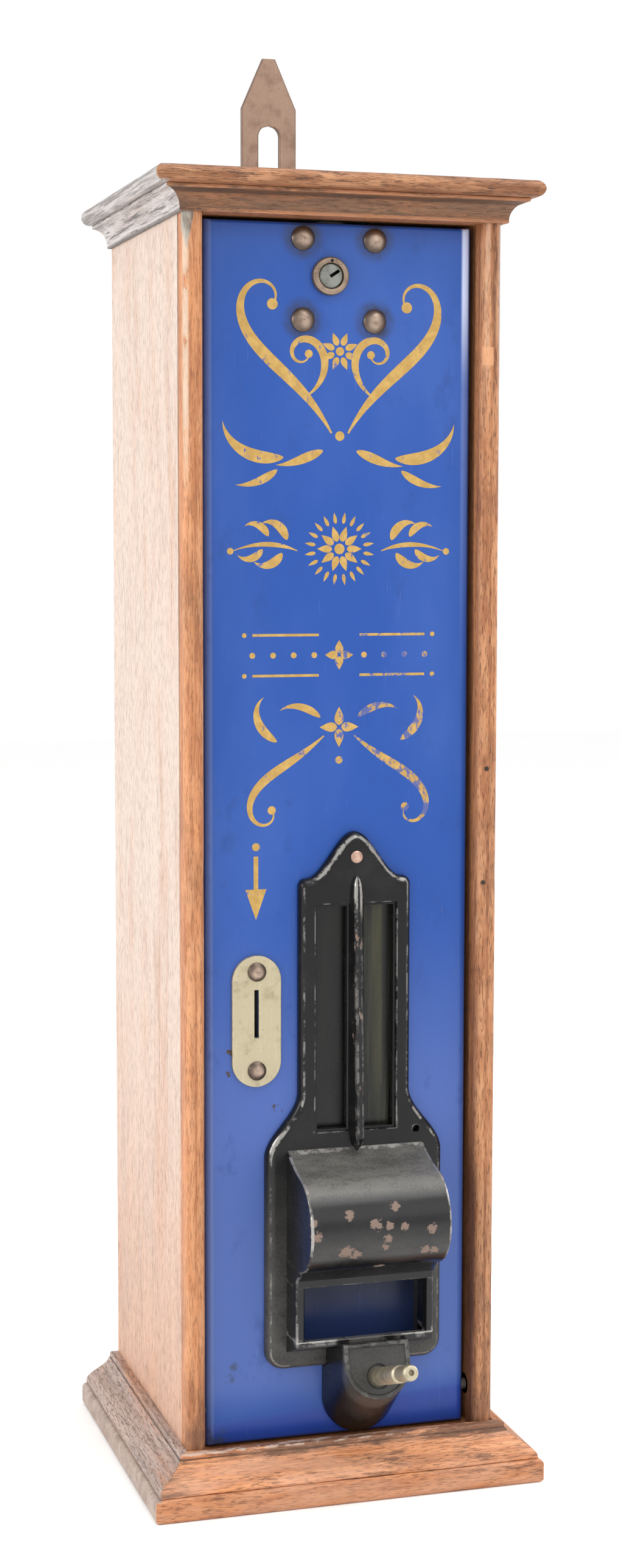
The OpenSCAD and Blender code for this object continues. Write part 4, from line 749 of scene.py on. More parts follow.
SLOT_R, SLOT_LOW, SLOT_HIGH, POINT_H, TIP_HALF, SCREW_PROUD = 5.0, 565.4, 599.4, 22.6, 3.0, 0.15
low_arc = SLOT_LOW + SLOT_R - SLOT_R * np.linspace(1, 0, 9)
high_arc = (SLOT_LOW + SLOT_HIGH) - low_arc[::-1]
shoulder_z = hang_high[2] - POINT_H
rows = np.unique(np.concatenate([
    np.linspace(hang_low[2], SLOT_LOW, 30), low_arc, np.linspace(low_arc[-1], high_arc[0], 12), high_arc,
    np.linspace(SLOT_HIGH, shoulder_z, 6), np.linspace(shoulder_z, hang_high[2], 16)]).round(6))
half = np.interp(rows, [shoulder_z, hang_high[2]], [(hang_high[0] - hang_low[0]) / 2, TIP_HALF])
off_end = np.clip(np.maximum(SLOT_LOW + SLOT_R - rows, rows - SLOT_HIGH + SLOT_R), 0, None)
slot = chord_half(SLOT_R, off_end)
slot = np.where((rows <= SLOT_LOW) | (rows >= SLOT_HIGH), 0, slot)
hang_mid = middle_of("hanger_strip")[0]
shape, wear = strip(rows, half, slot, hang_mid, hang_low[1], hang_high[1] - SCREW_PROUD)
make_piece("steel_hanger", shape, "cabinet", "steel", metals["hanger_steel"], ["hanger_strip"], wear)

# %% [markdown]
# Blue enamel on sheet steel. Old paint is never one blue: it has lighter clouds, grime round the bolts,
# fine scratches, stains and a few rust spots where it broke. The deeper blue at the foot is painted
# reflection of the dark base, and the colour also holds a painted glint on the rolled edges and painted shade
# in the tray.

# %% Blue enamel
panel_low, panel_high = span_of("front_panel")
bolt_low, bolt_high = span_of("lock_screws")
coin_low, coin_high = span_of("coin_plate")
cast_low, cast_high = span_of("window_casting")
PANEL_Y, BOLT_R = panel_low[1], 5.0
bolts = [(x, z) for x in (bolt_low[0] + BOLT_R, bolt_high[0] - BOLT_R)
         for z in (bolt_low[2] + BOLT_R, bolt_high[2] - BOLT_R)]
BLUE, BLUE_LIGHT, BLUE_DARK = (0.014, 0.072, 0.335), (0.032, 0.096, 0.375), (0.012, 0.046, 0.24)
BLUE_PALE, BLUE_FOOT_REFLECTION, BLUE_GLINT = (0.078, 0.138, 0.415), (0.020, 0.050, 0.31), (0.62, 0.70, 0.92)
BLUE_SHADE, BLUE_STAIN, RUST = (0.008, 0.012, 0.035), (0.045, 0.058, 0.075), (0.075, 0.045, 0.034)
STAINS = ((-46.6, 56.2, 2.6), (-48.4, 50.2, 3.6), (-54.5, 25.0, 6.5))
RUST_SPOTS = ((coin_low[0] - 1.5, coin_low[2] + 14, 4.5), (coin_low[0] - 2.0, coin_low[2] + 6, 3.0),
              (cast_low[0] + 6.0, 166.0, 5.5))


def blue_colour(place):
    """Clouded blue, paler below the middle, deep at the foot as a painted reflection of the dark base, with a
    painted glint on the rolled edges, painted shade in the tray, grime, scratches and stains: the colour with
    its rust, a mask of what is broken, and the clouds."""
    x, z = place.axes(0, 2)
    cloud = place.noise(60.0, (1, 1, 2.5), 4.0, 0.55)
    grime = place.noise(5.0, EVEN, 4.0, 0.6, 6.0).ramp(0.35, 0.7)
    smudge = place.noise(14.0, (1, 1, 1.6), 6.0, 0.7, 33.0).ramp(0.55, 0.72)
    scratch = place.noise(0.7, (1, 1, 22), 2.0, 0.5, 3.0).ramp(0.70, 0.77)
    # Painted reflection: the deeper blue at the foot, with a sloping edge, is the dark base seen in the
    # gloss.
    level = z - x * 0.07
    foot = level.ramp(41, 31) * 0.35 + level.ramp(36.0, 33.0) * 0.45
    glint = x.off(55.5).ramp(2.3, 0.9) * (z.ramp(470, 515) * 0.72 + z.ramp(330, 480) * 0.13)
    shade = z.ramp(56, 62) * z.ramp(108, 100) * x.ramp(-25, -22) * x.ramp(38, 35)

    def spot(at_x, at_z, inner, outer):
        """A round spot on the panel."""
        return place.near((at_x, PANEL_Y, at_z), inner, outer)

    rings = [(spot(*bolt, BOLT_R, 10.5) * (0.45 + grime * 0.5), (0.03, 0.035, 0.06)) for bolt in bolts]
    stains = [((spot(*at, r * 0.1, r * 1.4) * (0.3 + grime)).ramp(0.2, 0.9) * 0.7, BLUE_STAIN)
              for *at, r in STAINS]
    colour = paint(cloud.ramp(0.4, 0.72).mix(BLUE, BLUE_LIGHT),
                   (z.ramp(265, 150) * z.ramp(32, 50) * 0.85, BLUE_PALE),
                   (z.ramp(528, 541) * 0.45, BLUE_DARK), (foot, BLUE_FOOT_REFLECTION),
                   (glint + x.off(-56.8).ramp(2.0, 0.7) * 0.12, BLUE_GLINT),
                   (shade * (z.ramp(66, 90) * 0.30 + 0.65), BLUE_SHADE), *rings,
                   (smudge * 0.4, (0.016, 0.05, 0.21)), (scratch * 0.16, (0.20, 0.27, 0.55)), *stains)
    rust = sum(spot(*at, r * 0.3, r) * grime for *at, r in RUST_SPOTS)
    flaw = place.noise(2.2, EVEN, 3.0, 0.6, 11.0).ramp(0.74, 0.78) * 0.6
    broken = (rust.ramp(0.3, 0.6) + flaw).ramp(0.0, 1.0)
    return broken.mix(colour, RUST), broken, cloud


def blue_enamel():
    """The blue under a slightly pebbled gloss, dull and sunken where it is broken."""
    place, connect = finish("blue_enamel", 0.32)
    colour, broken, cloud = blue_colour(place)
    peel = place.noise(1.6, EVEN, 2.0, 0.5, 1.0)
    return connect(Base_Color=colour, Roughness=0.22 + cloud * 0.16 + broken * 0.3,
                   bump=peel * 0.25 - broken * 0.6, depth=0.0001)


blue_paint = blue_enamel()
print("blue enamel with", len(bolts), "grime rings")

# %% [markdown]
# The front is one steel sheet with rolled side edges, folded back all round like a tray. Each column has a
# place across and a depth, each row a height and a depth, and a point lies at the larger depth. That one
# rule makes the face, the rolls and the folds, and the openings are masked cells.

# %% Front panel
CASTING_X, COIN_X = [middle_of(node)[0] for node in ("window_casting", "coin_plate")]
RIB_HALF, WINDOW_HALF, WINDOW_LOW, WINDOW_HIGH, WINDOW_ROOM = 3.75, 17.0, 158.0, 254.0, 1.5
EXIT_HALF, EXIT_LOW, EXIT_HIGH = 29.0, 107.0, 121.0
LOCK_X, LOCK_Z = middle_of("lock_ring")[[0, 2]]
LOCK_BORE, COIN_Z, COIN_HALF, COIN_TALL = 5.3, 209.0, 1.0, 10.3
BOSS_X, BOSS_OUT, BOSS_Z, TILT = 9.5, 29.0, 56.0, np.radians(20.0)
SPRING_HALF, SPRING_LOW, SPRING_HIGH = 3.9, 40.9, 49.6
SHEET, SIDE_ROLL, END_ROLL = 1.2, 4.0, 1.6
openings = [(x - half, x + half, low, high) for x, half, low, high in (
    (CASTING_X, WINDOW_HALF + WINDOW_ROOM, WINDOW_LOW - WINDOW_ROOM, WINDOW_HIGH + WINDOW_ROOM),
    (CASTING_X, EXIT_HALF, EXIT_LOW, EXIT_HIGH), (COIN_X, COIN_HALF, COIN_Z - COIN_TALL, COIN_Z + COIN_TALL),
    (LOCK_X, LOCK_BORE, LOCK_Z - LOCK_BORE, LOCK_Z + LOCK_BORE),
    (BOSS_X, SPRING_HALF, SPRING_LOW, SPRING_HIGH))]


def folded(low, high, roll, knots, sheet):
    """Place and depth along one direction of a tray, moved in by sheet: flange, roll, face, roll, flange."""
    fold = panel_high[1] - panel_low[1]
    a = np.radians(np.linspace(0, 90, 9))
    r = max(roll - sheet, 0.05)
    edge, depth = low + sheet + r * (1 - np.cos(a)), sheet + r * (1 - np.sin(a))
    face = np.unique(np.concatenate([np.linspace(low + roll, high - roll, 60), knots]).round(4))
    face = face[(face > low + roll + 0.1) & (face < high - roll - 0.1)]
    flange, turned = np.array([low + sheet, low + sheet]), np.array([fold, (fold + roll) / 2])
    at = np.concatenate([flange, edge, face, low + high - edge[::-1], low + high - flange])
    return at, np.concatenate([turned, depth, np.full(len(face), sheet), depth[::-1], turned[::-1]])


def tray(sheet):
    """Grid of the folded sheet's outer skin, or of its inner skin when sheet is its thickness."""
    x, dx = folded(panel_low[0], panel_high[0], SIDE_ROLL, [v for o in openings for v in o[:2]], sheet)
    z, dz = folded(panel_low[2], panel_high[2], END_ROLL, [v for o in openings for v in o[2:]], sheet)
    return at_points(x, PANEL_Y + np.maximum(dx, dz[:, None]), z[:, None])


outer, inner = tray(0.0), tray(SHEET)
middle = (outer[:-1, :-1] + outer[1:, 1:]) / 2
kept = np.ones(middle.shape[:2], bool)
for x0, x1, z0, z1 in openings:
    kept &= ~((middle[..., 0] > x0) & (middle[..., 0] < x1) & (middle[..., 2] > z0) & (middle[..., 2] < z1))
to_side = np.minimum(outer[..., 0] - panel_low[0], panel_high[0] - outer[..., 0])
make_piece("blue_front", slab(outer, inner, kept), "door", "blue_paint", blue_paint, ["front_panel"],
           np.exp(-to_side / 2.0))

# %% [markdown]
# Gold ornament. A painted front of this age carried gold work over its blue. Here it is a common pattern of
# scrolls, leaves, rosettes and dotted rules, with a plain arrow over the coin plate. Every mark is a path and
# a half width along it; a scroll is drawn by turning a little more at each step, as a brush does.

# %% Brush marks
def curl(start, heading, length, bend_from, bend_to, power=1.0, n=72):
    """Path drawn by turning: the heading is the running sum of a bend that grows along it as t to a power."""
    t = np.linspace(0, 1, n)
    angle = np.radians(heading + np.cumsum(bend_from + (bend_to - bend_from) * t ** power) / n)
    return np.asarray(start) + np.cumsum(np.stack([np.cos(angle), np.sin(angle)], -1) * length / n, 0)


def stroke(path, width):
    """A path whose half width swells in its middle."""
    t = np.linspace(0, 1, len(path))
    return path, width * (0.16 + 0.84 * np.sin(np.pi * t ** 0.8) ** 1.5)


def pointed(path, width):
    """A path whose half width comes to a point at both ends."""
    return path, width * np.sin(np.pi * np.linspace(0, 1, len(path)) ** 0.65)


def leaf(width, *way):
    """A pointed mark along a curl."""
    return pointed(curl(*way), width)


def scroll(width, dot_r, *way):
    """A stroke along a curl, with a dot on its end."""
    path = curl(*way)
    return [stroke(path, width), dot(*path[-1], dot_r)]


def dot(x, z, r):
    """Round dot as a short path whose half width is that of a circle."""
    along = -r * np.cos(np.linspace(0, np.pi, 21))
    return at_points(x + along, z), chord_half(r, along)


def rosette(x, z, near, far, petals, width, turn=0.0):
    """Leaves set round a centre, from a near to a far radius."""
    angles = np.radians(turn + np.arange(petals) * 360 / petals)
    reach = np.linspace(near, far, 17)[:, None]
    return [pointed(np.array([x, z]) + reach * [np.cos(a), np.sin(a)], width) for a in angles]


print("a rosette of", len(rosette(0, 0, 1, 5, 8, 1)), "leaves")

# %% [markdown]
# The layout. One half is drawn and mirrored; the rosettes stand in the middle and the arrow over the coin
# plate. Each mark becomes a thin ribbon a few hundredths of a millimetre in front of the panel.

# %% Gold ornament
ARROW_X, EVEN_9 = -36.5, np.ones(9)
big = [*scroll(2.5, 2.3, (3, 452), 62, 96, -70, 1180, 3.0),
       *scroll(1.7, 1.7, (15, 468), 150, 52, -160, -980, 2.2),
       leaf(2.6, (24, 443), -8, 34, 40, 140), leaf(1.7, (27, 438), -40, 20, 30, 60),
       leaf(2.0, (7, 446), -20, 22, -20, 60)]
mid = [stroke(curl((18, 404), 24, 29, -50, -40), 1.0), dot(47.5, 404, 1.4),
       leaf(1.9, (23, 408.5), 78, 15, -60, -150), leaf(1.6, (31, 410), 68, 13, -60, -150),
       leaf(1.9, (25, 403.5), -62, 15, 60, 150), leaf(1.6, (33.5, 405), -58, 13, 60, 150)]
rules = [(at_points(np.linspace(9, 38, 9), z), 0.55 * EVEN_9) for z in (369, 352)]
rules += [dot(x, 360.5, 1.25) for x in (11, 20, 29, 38)] + [dot(41.5, z, 1.0) for z in (369, 352)]
small = [*scroll(1.9, 1.8, (6, 327), -42, 66, 40, -1150, 3.0), leaf(1.9, (27, 324), 30, 24, 30, 200),
         leaf(1.6, (8, 334), 40, 20, -30, -120)]
centre = [*rosette(0, 487, 2.6, 8.2, 8, 1.4, 22.5), dot(0, 487, 1.8), *rosette(0, 405, 3.2, 9.8, 10, 1.55),
          *rosette(0, 405, 10.6, 15.4, 20, 0.8, 9), dot(0, 405, 2.2), *rosette(0, 360.5, 0.6, 6.2, 4, 1.8),
          *rosette(0, 330, 0.8, 8.6, 4, 2.0, 90), dot(0, 452, 2.0), dot(0, 316, 1.6)]
arrow = [(at_points(ARROW_X, np.linspace(276, 260, 9)), EVEN_9),
         (at_points(ARROW_X, np.linspace(262, 249, 9)), np.linspace(4.6, 0, 9)), dot(ARROW_X, 280, 1.7)]
right_side = big + mid + rules + small
marks = right_side + [(path * [-1, 1], half) for path, half in right_side] + centre + arrow


def ribbon(path, half, out):
    """Thin flat mark on the panel: the path moved to both sides by its half width."""
    flat = path[:, None] + left_of(path)[:, None] * (half[:, None] * np.linspace(-1, 1, 3))[..., None]
    front, back = [at_points(flat[..., 0], PANEL_Y - y, flat[..., 1]) for y in (out, 0.005)]
    return slab(front, back, np.ones((len(path) - 1, 2), bool))


def gold_paint():
    """Old gold paint that has rubbed off in places, down to the blue."""
    place, connect = finish("gold_paint", 0.45)
    x, z = place.axes(0, 2)
    blue = blue_colour(place)[0]
    tone = place.noise(4.0, EVEN, 4.0, 0.6, 21.0)
    lower = z.ramp(400, 345) * x.ramp(-12, 14) * 0.12
    lost = (place.noise(3.2, (1, 1, 1.6), 5.0, 0.7, 23.0) + lower).ramp(0.60, 0.68)
    colour = tone.ramp(0.35, 0.7).mix((0.44, 0.26, 0.062), (0.56, 0.35, 0.095))
    return connect(Base_Color=(lost * 0.85).mix(colour, blue), Roughness=0.38 + tone * 0.2,
                   bump=tone * 0.4 - lost * 0.4, depth=0.00005)


layers = [ribbon(path, half, 0.03 + 0.005 * (k % 7)) for k, (path, half) in enumerate(marks)]
make_piece("gold_ornament", joined(layers), "door", "blue_paint", gold_paint())

# %% [markdown]
# Black japanned iron. The casting is glossy black where the paint is whole, shows bright metal along the
# edges that hands rub, and pinkish-brown primer where chips have broken out. Dust has greyed what lies flat.
# The same grey paints a highlight on the hood's shoulder and a reflection low on its nose, and some bright
# edges are painted highlight as well as rub.

# %% Black iron
IRON_BLACK, IRON_WORN, IRON_BARE = (0.006, 0.006, 0.0065), (0.013, 0.013, 0.0135), (0.42, 0.405, 0.38)
PRIMER, DUST_AND_SHEEN, DUST_AND_SHEEN_EDGE = (0.205, 0.142, 0.113), (0.150, 0.145, 0.131), 30.6
NOSE_CHIPS = ((-13.5, -74.8, 147.0, 1.4), (-11.9, -74.8, 141.1, 1.1), (-7.6, -93.1, 130.5, 1.8),
              (12.7, -92.2, 132.2, 1.7), (4.1, -94.5, 125.8, 2.2), (9.5, -94.6, 124.7, 1.6),
              (15.8, -94.7, 124.2, 1.5), (8.8, -94.5, 119.3, 1.8), (28.6, -94.7, 122.4, 1.7),
              (-22.6, -94.7, 121.9, 2.1), (-23.9, -94.0, 127.9, 1.6), (-8.8, -92.9, 114.2, 2.6),
              (-4.6, -92.3, 112.9, 2.2), (8.4, -93.4, 115.2, 1.5), (8.2, -84.4, 105.0, 1.9),
              (26.0, -92.0, 112.8, 1.8), (30.0, -92.0, 112.4, 1.8))


def black_iron(name, gloss, chips=None, dust_and_sheen=None):
    """Gloss black over a cast skin, dusty inside a mask that on the hood is also painted sheen, rubbed to
    metal at the edges, chipped to primer inside a mask.
    """
    place, connect = finish(name, gloss)
    skin = place.noise(0.9, EVEN, 3.0, 0.6)
    cloud = place.noise(16.0, EVEN, 4.0, 0.6, 2.0)
    edge = worn(place)
    # On the plate, rib and hood some edges this wear brightens are painted highlight as well as bare metal.
    rub = edge.ramp(0.35, 1.0) * place.noise(6.5, EVEN, 5.0, 0.7, 5.0).ramp(0.42, 0.60)
    rub = (rub + edge.ramp(1.05, 1.5) * place.noise(2.5, shift=6.0).ramp(0.2, 0.5)).ramp(0.0, 1.0)
    fleck = place.noise(1.4, EVEN, 3.0, 0.65, 9.0).ramp(0.70, 0.76)
    chip = fleck * place.noise(25.0, shift=4.0).ramp(0.5, 0.62) * 0.7
    if chips:
        chip = (chip + chips(place)).ramp(0.0, 1.0)
    colour = cloud.ramp(0.45, 0.75).mix(IRON_BLACK, IRON_WORN)
    rough = 0.16 + cloud * 0.2 + chip * 0.4
    if dust_and_sheen:
        fine = place.noise(1.0, EVEN, 4.0, 0.75, 17.0).ramp(0.3, 0.7)
        broad = place.noise(7.0, (2, 1, 1), 4.0, 0.6, 37.0).ramp(0.3, 0.7)
        lies = dust_and_sheen(place) * (0.34 + fine * 0.46 + broad * 0.36)
        colour = lies.mix(colour, DUST_AND_SHEEN)
        rough = rough + lies * 0.25
    return connect(Base_Color=paint(colour, (chip, PRIMER), (rub * 0.8, IRON_BARE)), Roughness=rough,
                   Metallic=rub * 0.7, bump=skin * 0.35 + cloud * 0.2 - chip * 0.5, depth=0.00012)


def nose_chips(place):
    """Ragged chips over the nose, most in its middle, each a round patch whose edge a noise has moved."""
    ragged = (place.noise(2.2, (1.4, 1, 1), 6.0, 0.75, 13.0) - 0.5) * 3.0
    return sum((place.near(chip[:3], 0.0, chip[3] * 2.3) + ragged).ramp(0.53, 0.60)
               * place.near(chip[:3], chip[3] * 1.5, chip[3] * 2.3) for chip in NOSE_CHIPS)


def crest_chips(place):
    """Long chips down the rib's crest."""
    y, z = place.axes(1, 2)
    broken = place.noise(3.0, (1, 1, 2.5), 4.0, 0.65, 15.0).ramp(0.60, 0.64)
    return broken * y.ramp(PANEL_Y - 6.5, PANEL_Y - 8.0) * z.ramp(165, 185) * 0.8


def hood_dust_and_sheen(place):
    """Dust where the hood turns up to the plate, with a stripe of painted highlight on its shoulder, and a
    thin film low on its nose that is painted reflection of the floor.
    """
    x, y, z = place.axes(0, 1, 2)
    # Painted reflection of the floor: the thin film low on the nose.
    film = z.ramp(126, 114) * z.ramp(110.0, 111.8) * y.ramp(PANEL_Y - 16, PANEL_Y - 28) * 0.26
    # Painted highlight: the pale stripe along the shoulder at 139.6 mm, over the dust.
    shoulder = 0.74 + z.off(139.6).ramp(4.5, 0.5) * 0.55 + z.ramp(148, 153) * 0.2
    top = z.ramp(131, 138) * y.ramp(PANEL_Y - 40, PANEL_Y - 34) * shoulder
    return (top + film) * x.off(CASTING_X).ramp(DUST_AND_SHEEN_EDGE, DUST_AND_SHEEN_EDGE - 1.0)


def flange_dust(place):
    """A grey film over the plate's lower half."""
    z, = place.axes(2)
    return z.ramp(160, 85) * 0.45


def face_dust(place):
    """A thin film on the boss's face, which leans back."""
    y, = place.axes(1)
    return y.ramp(PANEL_Y - 22, PANEL_Y - 26) * 0.3


irons = {name: black_iron("iron_" + name, *choice) for name, choice in {
    "plate": (0.28, None, flange_dust), "hood": (0.42, nose_chips, hood_dust_and_sheen), "rib": (0.34, crest_chips),
    "boss": (0.4, None, face_dust)}.items()}
print(len(irons), "black irons")

# %% [markdown]
# The casting's plate. Its outline has a foot with round corners, a flare, straight sides, shoulders and a
# pediment. One half is drawn, and its points also give the heights of the grid's rows.

# %% Casting outline
PLATE_T, BEVEL_W, BEVEL_FOOT, STEP_W, STEP_D, STEP_EASE = 5.0, 3.6, 1.6, 1.2, 1.5, 0.25
LOWER_HALF, UPPER_HALF = (cast_high[0] - cast_low[0]) / 2, 24.8
FLANGE_Z, FLANGE_R, FLARE_LOW, FLARE_HIGH, SHOULDER_Z = cast_low[2], 8.0, 146.0, 174.0, 266.0
PEDIMENT, SHOULDER_R = cast_high[2] - SHOULDER_Z, 3.4
HOOD_HALF, HOOD_WALL, TRAY_Z, TRAY_BACK_Z, HOLE_TOP = 30.8, 2.5, 67.4, 62.0, 143.0
SCREW_X, SCREW_Z, SCREW_R, SCREW_DEEP = 27.3, 156.0, 1.3, 3.6

corner = arc((LOWER_HALF - FLANGE_R, FLANGE_Z + FLANGE_R), FLANGE_R, -90, 0, 16)
rise = line((FLANGE_Z + FLANGE_R + 0.5, 30), (FLARE_LOW - 3.001, 1), (FLARE_LOW - 3, 1),
            (FLARE_LOW - 2.999, 4), (FLARE_LOW - 0.1, 0))
t = np.linspace(0, 1, 25)
flare = at_points(LOWER_HALF + (UPPER_HALF - LOWER_HALF) * (1 - np.cos(np.pi * t)) / 2,
                  FLARE_LOW + (FLARE_HIGH - FLARE_LOW) * t)
climb = line((FLARE_HIGH + 0.5, 44), (SHOULDER_Z - SHOULDER_R - 0.1, 0))
shoulder = arc((UPPER_HALF - SHOULDER_R, SHOULDER_Z - SHOULDER_R), SHOULDER_R, 0, 72, 10)
across = np.linspace(0.96, 0, 34)
pediment = at_points((UPPER_HALF - SHOULDER_R) * across,
                     SHOULDER_Z + PEDIMENT * (1 + np.cos(np.pi * across)) / 2)
outline = np.concatenate([corner, at_points(LOWER_HALF, rise), flare, at_points(UPPER_HALF, climb), shoulder,
                          pediment])
steps = (-STEP_W, -STEP_W + STEP_EASE, 0.0, STEP_W - STEP_EASE, STEP_W)
heights = np.unique(np.concatenate([
    outline[:, 1], [w + d for w in (WINDOW_LOW, WINDOW_HIGH) for d in steps],
    line((FLANGE_Z + 0.15, 10), (FLANGE_Z + 4.2, 0)), SCREW_Z + np.linspace(-2.4, 2.4, 17),
    [TRAY_BACK_Z + HOOD_WALL, HOLE_TOP]]).round(5))
widths = np.interp(heights, outline[:, 1], outline[:, 0])
print("half outline of", len(outline), "points,", len(heights), "rows")

# %% [markdown]
# Rows run across from edge to edge at each height. Inner columns stay put so the windows' edges are
# straight, outer ones follow the outline. The front's height is a rounded bevel of the distance to it.

# %% Casting plate
def edge_distance(x, z):
    """Distance from each point to the nearest segment of the closed outline."""
    loop = np.concatenate([[[0, FLANGE_Z]], outline, outline[::-1] * [-1, 1], [[0, FLANGE_Z]]])
    a, d = loop[:-1], np.diff(loop, axis=0)
    p = np.stack([x, z], -1).reshape(-1, 1, 2)
    t = np.clip(((p - a) * d).sum(-1) / np.maximum((d * d).sum(-1), 1e-12), 0, 1)
    return np.sqrt((((p - a) - t[..., None] * d) ** 2).sum(-1).min(1)).reshape(x.shape)


core = np.array([0, RIB_HALF / 2, RIB_HALF, 6, 9, 12, 15, WINDOW_HALF, WINDOW_HALF + STEP_EASE,
                 WINDOW_HALF + STEP_W - STEP_EASE, WINDOW_HALF + STEP_W])
reach = (HOOD_HALF - HOOD_WALL - core[-1]) / (LOWER_HALF - core[-1])
fine_t = np.linspace(0.42, 0.70, 15)
fine_t[np.abs(fine_t - reach).argmin()] = reach
outer_t = np.unique(np.concatenate([[0.2], fine_t, 1 - 0.3 * (1 - np.linspace(0.05, 1, 14)) ** 1.5]))
inner_x = core * np.minimum(1, widths / UPPER_HALF)[:, None]
side_x = np.concatenate([inner_x, inner_x[:, -1:] + (widths[:, None] - inner_x[:, -1:]) * outer_t], 1)
plan_x = np.concatenate([-side_x[:, :0:-1], side_x], 1)
plan_z = np.broadcast_to(heights[:, None], plan_x.shape)
inset = edge_distance(plan_x, plan_z)
bevel = chord_half(1, 1 - np.clip(inset / BEVEL_W, 0, 1))
to_sill = np.minimum(plan_z - WINDOW_LOW, WINDOW_HIGH - plan_z)
in_step = np.minimum(WINDOW_HALF - abs(plan_x), to_sill) + STEP_W
in_step = np.where(abs(plan_x) >= RIB_HALF - 1e-6, in_step, -1)
from_screw = np.hypot(plan_x - SCREW_X, plan_z - SCREW_Z)
height = BEVEL_FOOT + (PLATE_T - BEVEL_FOOT) * bevel - STEP_D * np.clip(in_step / STEP_EASE, 0, 1)
height = height - SCREW_DEEP * np.clip((SCREW_R + 0.2 - from_screw) / 0.4, 0, 1)
front, back = [at_points(CASTING_X + plan_x, y, plan_z) for y in (PANEL_Y - height, PANEL_Y)]
mx, mz = abs(plan_x[:-1, :-1] + plan_x[1:, 1:]) / 2, (plan_z[:-1] + plan_z[1:])[:, :-1] / 2
window = (mx > RIB_HALF) & (mx < WINDOW_HALF) & (mz > WINDOW_LOW) & (mz < WINDOW_HIGH)
delivery = (mx < HOOD_HALF - HOOD_WALL) & (mz > TRAY_BACK_Z + HOOD_WALL) & (mz < HOLE_TOP)
# Rubbed metal and painted highlight: bright lines on the bevel, window steps, pediment hollows, left flare.
high = np.clip((plan_z - SHOULDER_Z + 4) / 6, 0, 1) + bell(plan_z - FLARE_LOW - 14, 12)
rubbed = bell(inset - 1.8, 0.9) * np.clip(0.72 + 0.4 * high, 0, 1.1)
rubbed = np.clip(rubbed + 0.8 * bell(in_step, 0.35), 0, 1.0)
hollows = np.clip((plan_z - SHOULDER_Z + 3) / 3, 0, 1) * np.clip((abs(plan_x) - 3) / 3, 0, 1)
left_flare = bell(plan_z - FLARE_LOW - 7, 6) * (plan_x < -20)
rubbed = np.maximum(rubbed, 1.6 * bell(inset - 1.6, 1.1) * np.clip(hollows + left_flare, 0, 1))
rubbed = np.maximum(rubbed, 0.8 * bell(from_screw - SCREW_R - 0.5, 0.4))
make_piece("iron_window_plate", slab(front, back, ~(window | delivery)), "door", "black_iron", irons["plate"],
           ["window_casting"], rubbed)

# %% [markdown]
# The rib between the windows is a low keel: a trapezium section with soft corners whose width and height
# change along its length, to a point at both ends. It is tallest at its foot, above the hood.

# %% Window rib
RIB_LOW, RIB_HIGH, RIB_TALL, RIB_SHORT, RIB_SUNK = 148.0, SHOULDER_Z + 1, 8.0, 3.0, 0.6
along = line((0, 16), (0.09, 60), (0.86, 24), (1, 0))[:, None]
plump = np.interp(along, [0, 0.03, 0.07, 0.93, 0.97, 0.99, 1], [0.1, 0.7, 1, 1, 0.86, 0.55, 0.1])
tall = (RIB_TALL + (RIB_SHORT - RIB_TALL) * along) * np.clip(plump * 1.1, 0, 1)
keel, bare = soft_outline([(-1, 0), (1, 0), (0.45, 1), (-0.45, 1)], [0.02, 0.02, 0.26, 0.26], 5, 0.1)
proud = keel[:, 1] * (tall + RIB_SUNK + 0.12 * ripple(along, 41, 0.3, 8))
rings = at_points(CASTING_X + keel[:, 0] * (RIB_HALF - 0.4) * plump, PANEL_Y - PLATE_T + RIB_SUNK - proud,
                  RIB_LOW + (RIB_HIGH - RIB_LOW) * along)
# Rub along the crest's edges; the bright patch near the top is painted highlight as well as rub.
crest = np.clip(bare * 1.6, 0, 1) * (keel[:, 1] > 0.5) * (0.62 + bell(along - 0.96, 0.05))
make_piece("iron_window_rib", tube(rings), "door", "black_iron", irons["rib"], [], capped(crest))

# %% [markdown]
# The hood and tray are one shell. Its section runs from the plate under the tray, up the front, out round
# the nose and back up a hollow to the plate. Carried across, it stops at two side walls, which are the same
# section drawn back to the plate. The mouth is a mask in the front.

# %% Hood and tray
TRAY_OUT, MOUTH_LOW, MOUTH_HIGH, MOUTH_TOP = 19.5, 70.6, 94.0, 97
NOSE_OUT, NOSE_Z, NOSE_R, COVE_R, TURN = 22.5, 122.5, 20.0, 62.0, 80.0
WALL_N, EDGE_N, WALL_STOP, OUTER_EDGE, INNER_EDGE = 9, 6, 0.965, 1.3, 0.05
cove_mid = arc((NOSE_OUT, NOSE_Z), NOSE_R + COVE_R, TURN, TURN, 1)[0]
cove_end = 180 + np.degrees(np.arccos((cove_mid[0] - PLATE_T) / COVE_R))
nose = arc((NOSE_OUT, NOSE_Z), NOSE_R, -TURN, TURN, 56)
cove = arc(cove_mid, COVE_R, 180 + TURN, cove_end, 16)


def tray_under(out):
    """Height of the tray's sloping underside at a distance out of the panel."""
    return TRAY_BACK_Z + (TRAY_Z - TRAY_BACK_Z) * (out - PLATE_T) / (TRAY_OUT - PLATE_T)


